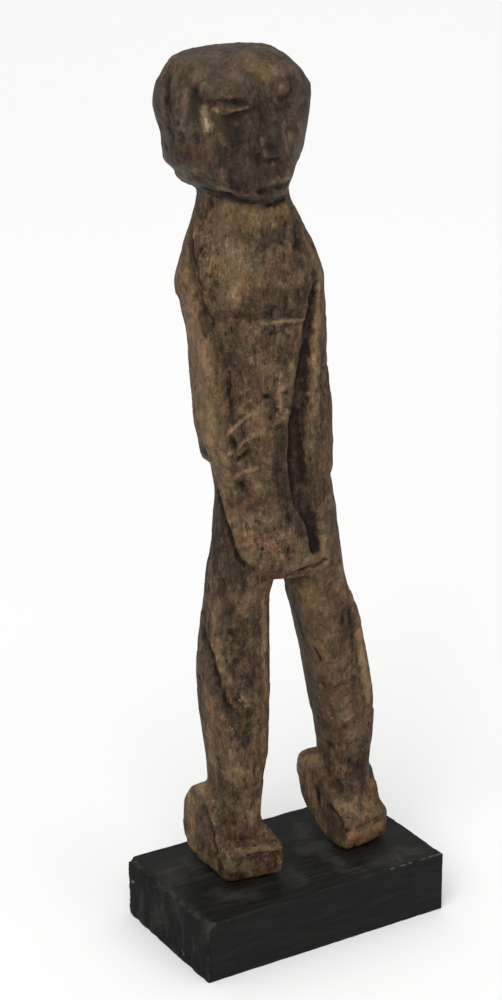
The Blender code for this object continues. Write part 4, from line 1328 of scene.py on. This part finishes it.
# small knocks along all edges, rough end grain and saw marks on the left end
knocks = block["knock"] * np.clip(1 - toEdge / 1.2, 0, 1) * np.clip(layeredNoise(shape, 73, 2.2) + 0.1, 0, 1)
knocks = knocks * (1 - 0.5 * ease(4, 10, toLeft))
endGrain = np.clip(0.12 + 0.26 * layeredNoise(shape * (1, 1, 0.6), 75, 1.6), 0, 1) * ease(0, 1.2, z)
sawMarks = block["sawMarks"] * np.sin(z * 5.2 + smoothNoise(shape, 77, 4) * 2)
x = x + leftFace * (endGrain + sawMarks) + knocks * np.sign(-x)
y = y - knocks * np.sign(y) * (toLongSides < 1.5)
z = z - knocks * (toTop < 1.5)
# a crack near the right end of the front
crack = np.clip(1 - np.abs(x - block["crackAt"] - 0.3 * np.sin(z)) / block["crackHalf"], 0, 1)
y = y + block["crackDepth"] * crack * (toFront < 1) * ease(9, 16, z)
# brush marks along the top
brushed = block["brushMarks"] * (toTop < 0.6) * ease(0, 2, sides)
z = z + brushed * (layeredNoise(shape * (0.25, 1, 1), 79, 3.0) - 1)
blockPoints = np.clip(np.stack([x, y, z], -1), (-halfX, -halfY, 0), (halfX, halfY, topZ))
base = meshObject("block", blockPoints, [blockQuads, blockFans])
base.data.shade_smooth()

# Scuffs: width, strength and path in millimetres.
scuffs = [
    (0.4, 0.6, ((21.0, -22.3, 17.9), (28.5, -22.3, 17.9))),
    (0.4, 0.7, ((31.0, -22.3, 17.9), (38.6, -22.3, 17.9))),
    (0.55, 1.0, ((-38.9, 21.0, 11.0), (-38.9, 19.5, 11.5))),
    (0.5, 0.9, ((-38.9, 9.0, 6.5),)),
    (0.5, 0.8, ((-38.9, 4.0, 6.0), (-38.9, 5.5, 5.6))),
    (0.5, 0.8, ((-38.9, 0.5, 3.5),)),
    (0.6, 0.9, ((-38.9, -8.0, 3.0), (-38.9, -9.0, 2.2))),
    (0.5, 0.7, ((-38.9, -17.0, 8.0),)),
    (0.4, 0.7, ((26.0, -20.0, 18.0), (28.0, -15.0, 18.0))),
]
# Smudges on the top, by place, as the figure's marks.
smudges = {
    "leftFoot": ((11, 0.9, (302, 850), (322, 846)), (9, 0.8, (322, 853), (340, 862)),
                 (9, 0.9, (302, 823), (304, 837))),
    "rightFoot": ((11, 0.6, (190, 862), (205, 875)), (9, 0.8, (215, 893), (250, 895)),
                  (8, 0.6, (238, 874), (246, 876))),
    "betweenFeet": ((9, 0.5, (290, 872), (300, 882)),),
    "leftEnd": ((11, 0.5, (170, 868), (176, 880)),),
    "rightFront": ((7, 0.7, (345, 868), (362, 870)), (11, 0.7, (378, 862), (398, 856)),
                   (7, 0.6, (400, 848), (420, 852))),
}


# The strongest of some marks over all points, each a bell about its path.
def marked(points, rows):
    field = np.zeros(len(points))
    for width, strength, path in rows:
        field = np.maximum(field, strength * np.exp(-pathDistance(points, path, width) ** 2))
    return field


# Finish masks of the block: rubbed edges and left end, smudges on the top,
# chipped paint, and the rough end.
onBlock = carryOver({"smudge": smudges}, blockPoints, blockQuads, 0)["smudge"]
rubbedEdges = np.clip(1 - toEdge / 1.8, 0, 1) * (0.35 + layeredNoise(shape, 81, 2.5))
rubbedEdges = rubbedEdges * (1 - 0.6 * ease(6, 20, toLeft))
rubbedEnd = np.maximum(leftFace, ease(5, 1, toLeft) * (toTop < 2))
rubbedEnd = rubbedEnd * (0.42 + 0.5 * layeredNoise(shape * (1, 1, 0.4), 87, 3.0))
smudged = 0.25 + 0.3 * layeredNoise(shape * (0.4, 1, 1), 83, 5.0)
storeMasks(base, {
    "rubbed": rubbedEdges + rubbedEnd,
    "smudge": (smudged + marked(ragged(blockPoints, 1.6, 0.6), onBlock)) * (toTop < 1),
    "chipped": marked(blockPoints, scuffs) * (0.7 + 0.4 * smoothNoise(shape, 85, 1.2)),
    "endGrain": leftFace,
})


# Black paint: thin over the grain, brown-grey where rubbed or smudged, pale
# where chipped, the left end rough and porous.
def paintMaterial():
    made, tree, shader, place = startMaterial("blackPaintedWood")
    noises = {name: noiseOver(tree, place, *values) for name, values in block["noises"].items()}
    strokes, cloud, fine = noises.values()
    endGrain = maskOf(tree, "endGrain")
    thin = tuple(1.7 * part for part in block["paint"])
    colour = blend(tree, harden(tree, strokes, cloud, 0.3, 0.35, 0.7), block["paint"], thin)
    brushed = plus(tree, times(tree, strokes, 0.6), times(tree, cloud, 0.4))
    smudge = harden(tree, maskOf(tree, "smudge"), brushed, 1.5, 0, 1.5)
    rubbed = harden(tree, maskOf(tree, "rubbed"), fine, 0.9, 0.35, 1)
    speck = times(tree, harden(tree, fine, cloud, 0.2, 0.62, 0.72), endGrain)
    chipped = harden(tree, maskOf(tree, "chipped"), fine, 0.6, 0.2, 0.8)
    for mask, share, name in ((smudge, 0.7, "smudge"), (rubbed, 0.8, "rubbed"), (speck, 0.35, "rubbed"),
                              (chipped, 0.9, "chipped")):
        colour = blend(tree, times(tree, mask, share), colour, block[name])
    dull = plus(tree, times(tree, minus(tree, cloud, 0.5), 0.3), block["roughness"])
    dull = plus(tree, dull, times(tree, endGrain, 0.3))
    finishMaterial(tree, shader, colour, dull, block["specular"], noises, block["bumps"])
    return made


base.data.materials.append(paintMaterial())
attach(base, "root")
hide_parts("plinth")
print("block finished:", sum(len(p.vertices) - 2 for p in base.data.polygons), "triangles")

# The stage, in metres: a wide pale floor, a soft high sun, two soft lights
# and a sky that is brighter overhead.
stage = {
    "floorHalf": 6.0,
    "floor": (0.83, 0.83, 0.825),
    "roughness": 0.9,
    "specular": 0.1,
    "skyLow": 0.30,
    "skyHigh": 0.75,
    "sun": 1.5,
    "sunFrom": (-0.55, -0.55, 0.85),
    "sunWidth": 50.0,            # degrees
    "lookAt": (0, 0, 0.13),
    # place, size and power of each soft light
    "lights": {
        "keyLight": ((-0.80, -0.75, 0.60), 0.30, 2.0),
        "fillLight": ((0.25, -1.00, 0.28), 0.45, 2.0),
    },
}


# A pale floor whose tone drifts slightly, from a slow noise.
def floorMaterial():
    made, tree, shader, place = startMaterial("paleFloor")
    slow = noiseOver(tree, place, 400.0, (1, 1, 1), 2, 0.5)
    tone = blend(tree, slow, stage["floor"], tuple(0.985 * part for part in stage["floor"]))
    finishMaterial(tree, shader, tone, stage["roughness"], stage["specular"], {}, {})
    return made


reach = stage["floorHalf"] / mm
floorCorners = reach * np.array([(-1, -1, 0), (1, -1, 0), (1, 1, 0), (-1, 1, 0)], float)
floor = meshObject("floor", floorCorners, [np.array([[0, 1, 2, 3]])])
floor.data.materials.append(floorMaterial())


# A light of the stage, turned along a direction.
def addLight(name, light, direction, place):
    item = bpy.data.objects.new(name, light)
    item.location = place
    item.rotation_euler = direction.to_track_quat("-Z", "Y").to_euler()
    bpy.context.scene.collection.objects.link(item)


for name, (place, size, power) in stage["lights"].items():
    light = bpy.data.lights.new(name, "AREA")
    light.size = size
    light.energy = power
    addLight(name, light, Vector(stage["lookAt"]) - Vector(place), place)
sun = bpy.data.lights.new("softSun", "SUN")
sun.energy = stage["sun"]
sun.angle = radians(stage["sunWidth"])
addLight("softSun", sun, -Vector(stage["sunFrom"]), (0, 0, 0))

# The sky: its strength rises from the horizon with the height looked at.
world = bpy.data.worlds.new("paleSky")
world.use_nodes = True
skyTree = world.node_tree
sky = skyTree.nodes["Background"]
looked = addNode(skyTree, "ShaderNodeTexCoord")
parts = addNode(skyTree, "ShaderNodeSeparateXYZ")
skyTree.links.new(looked.outputs["Generated"], parts.inputs[0])
raised = times(skyTree, calc(skyTree, "MAXIMUM", parts.outputs["Z"], 0.0), stage["skyHigh"])
skyTree.links.new(plus(skyTree, raised, stage["skyLow"]), sky.inputs["Strength"])
sky.inputs["Color"].default_value = (1.0, 1.0, 1.0, 1.0)
bpy.context.scene.world = world

lens = bpy.data.cameras.new("camera")
lens.lens = camera["lens"]
lens.sensor_width = camera["sensor"]
lens.sensor_fit = "AUTO"
lens.clip_end = 50.0
eye = bpy.data.objects.new("camera", lens)
eye.matrix_world = cameraMatrix()
bpy.context.scene.collection.objects.link(eye)
bpy.context.scene.camera = eye
bpy.context.scene.view_settings.view_transform = "Standard"

print("stage set")
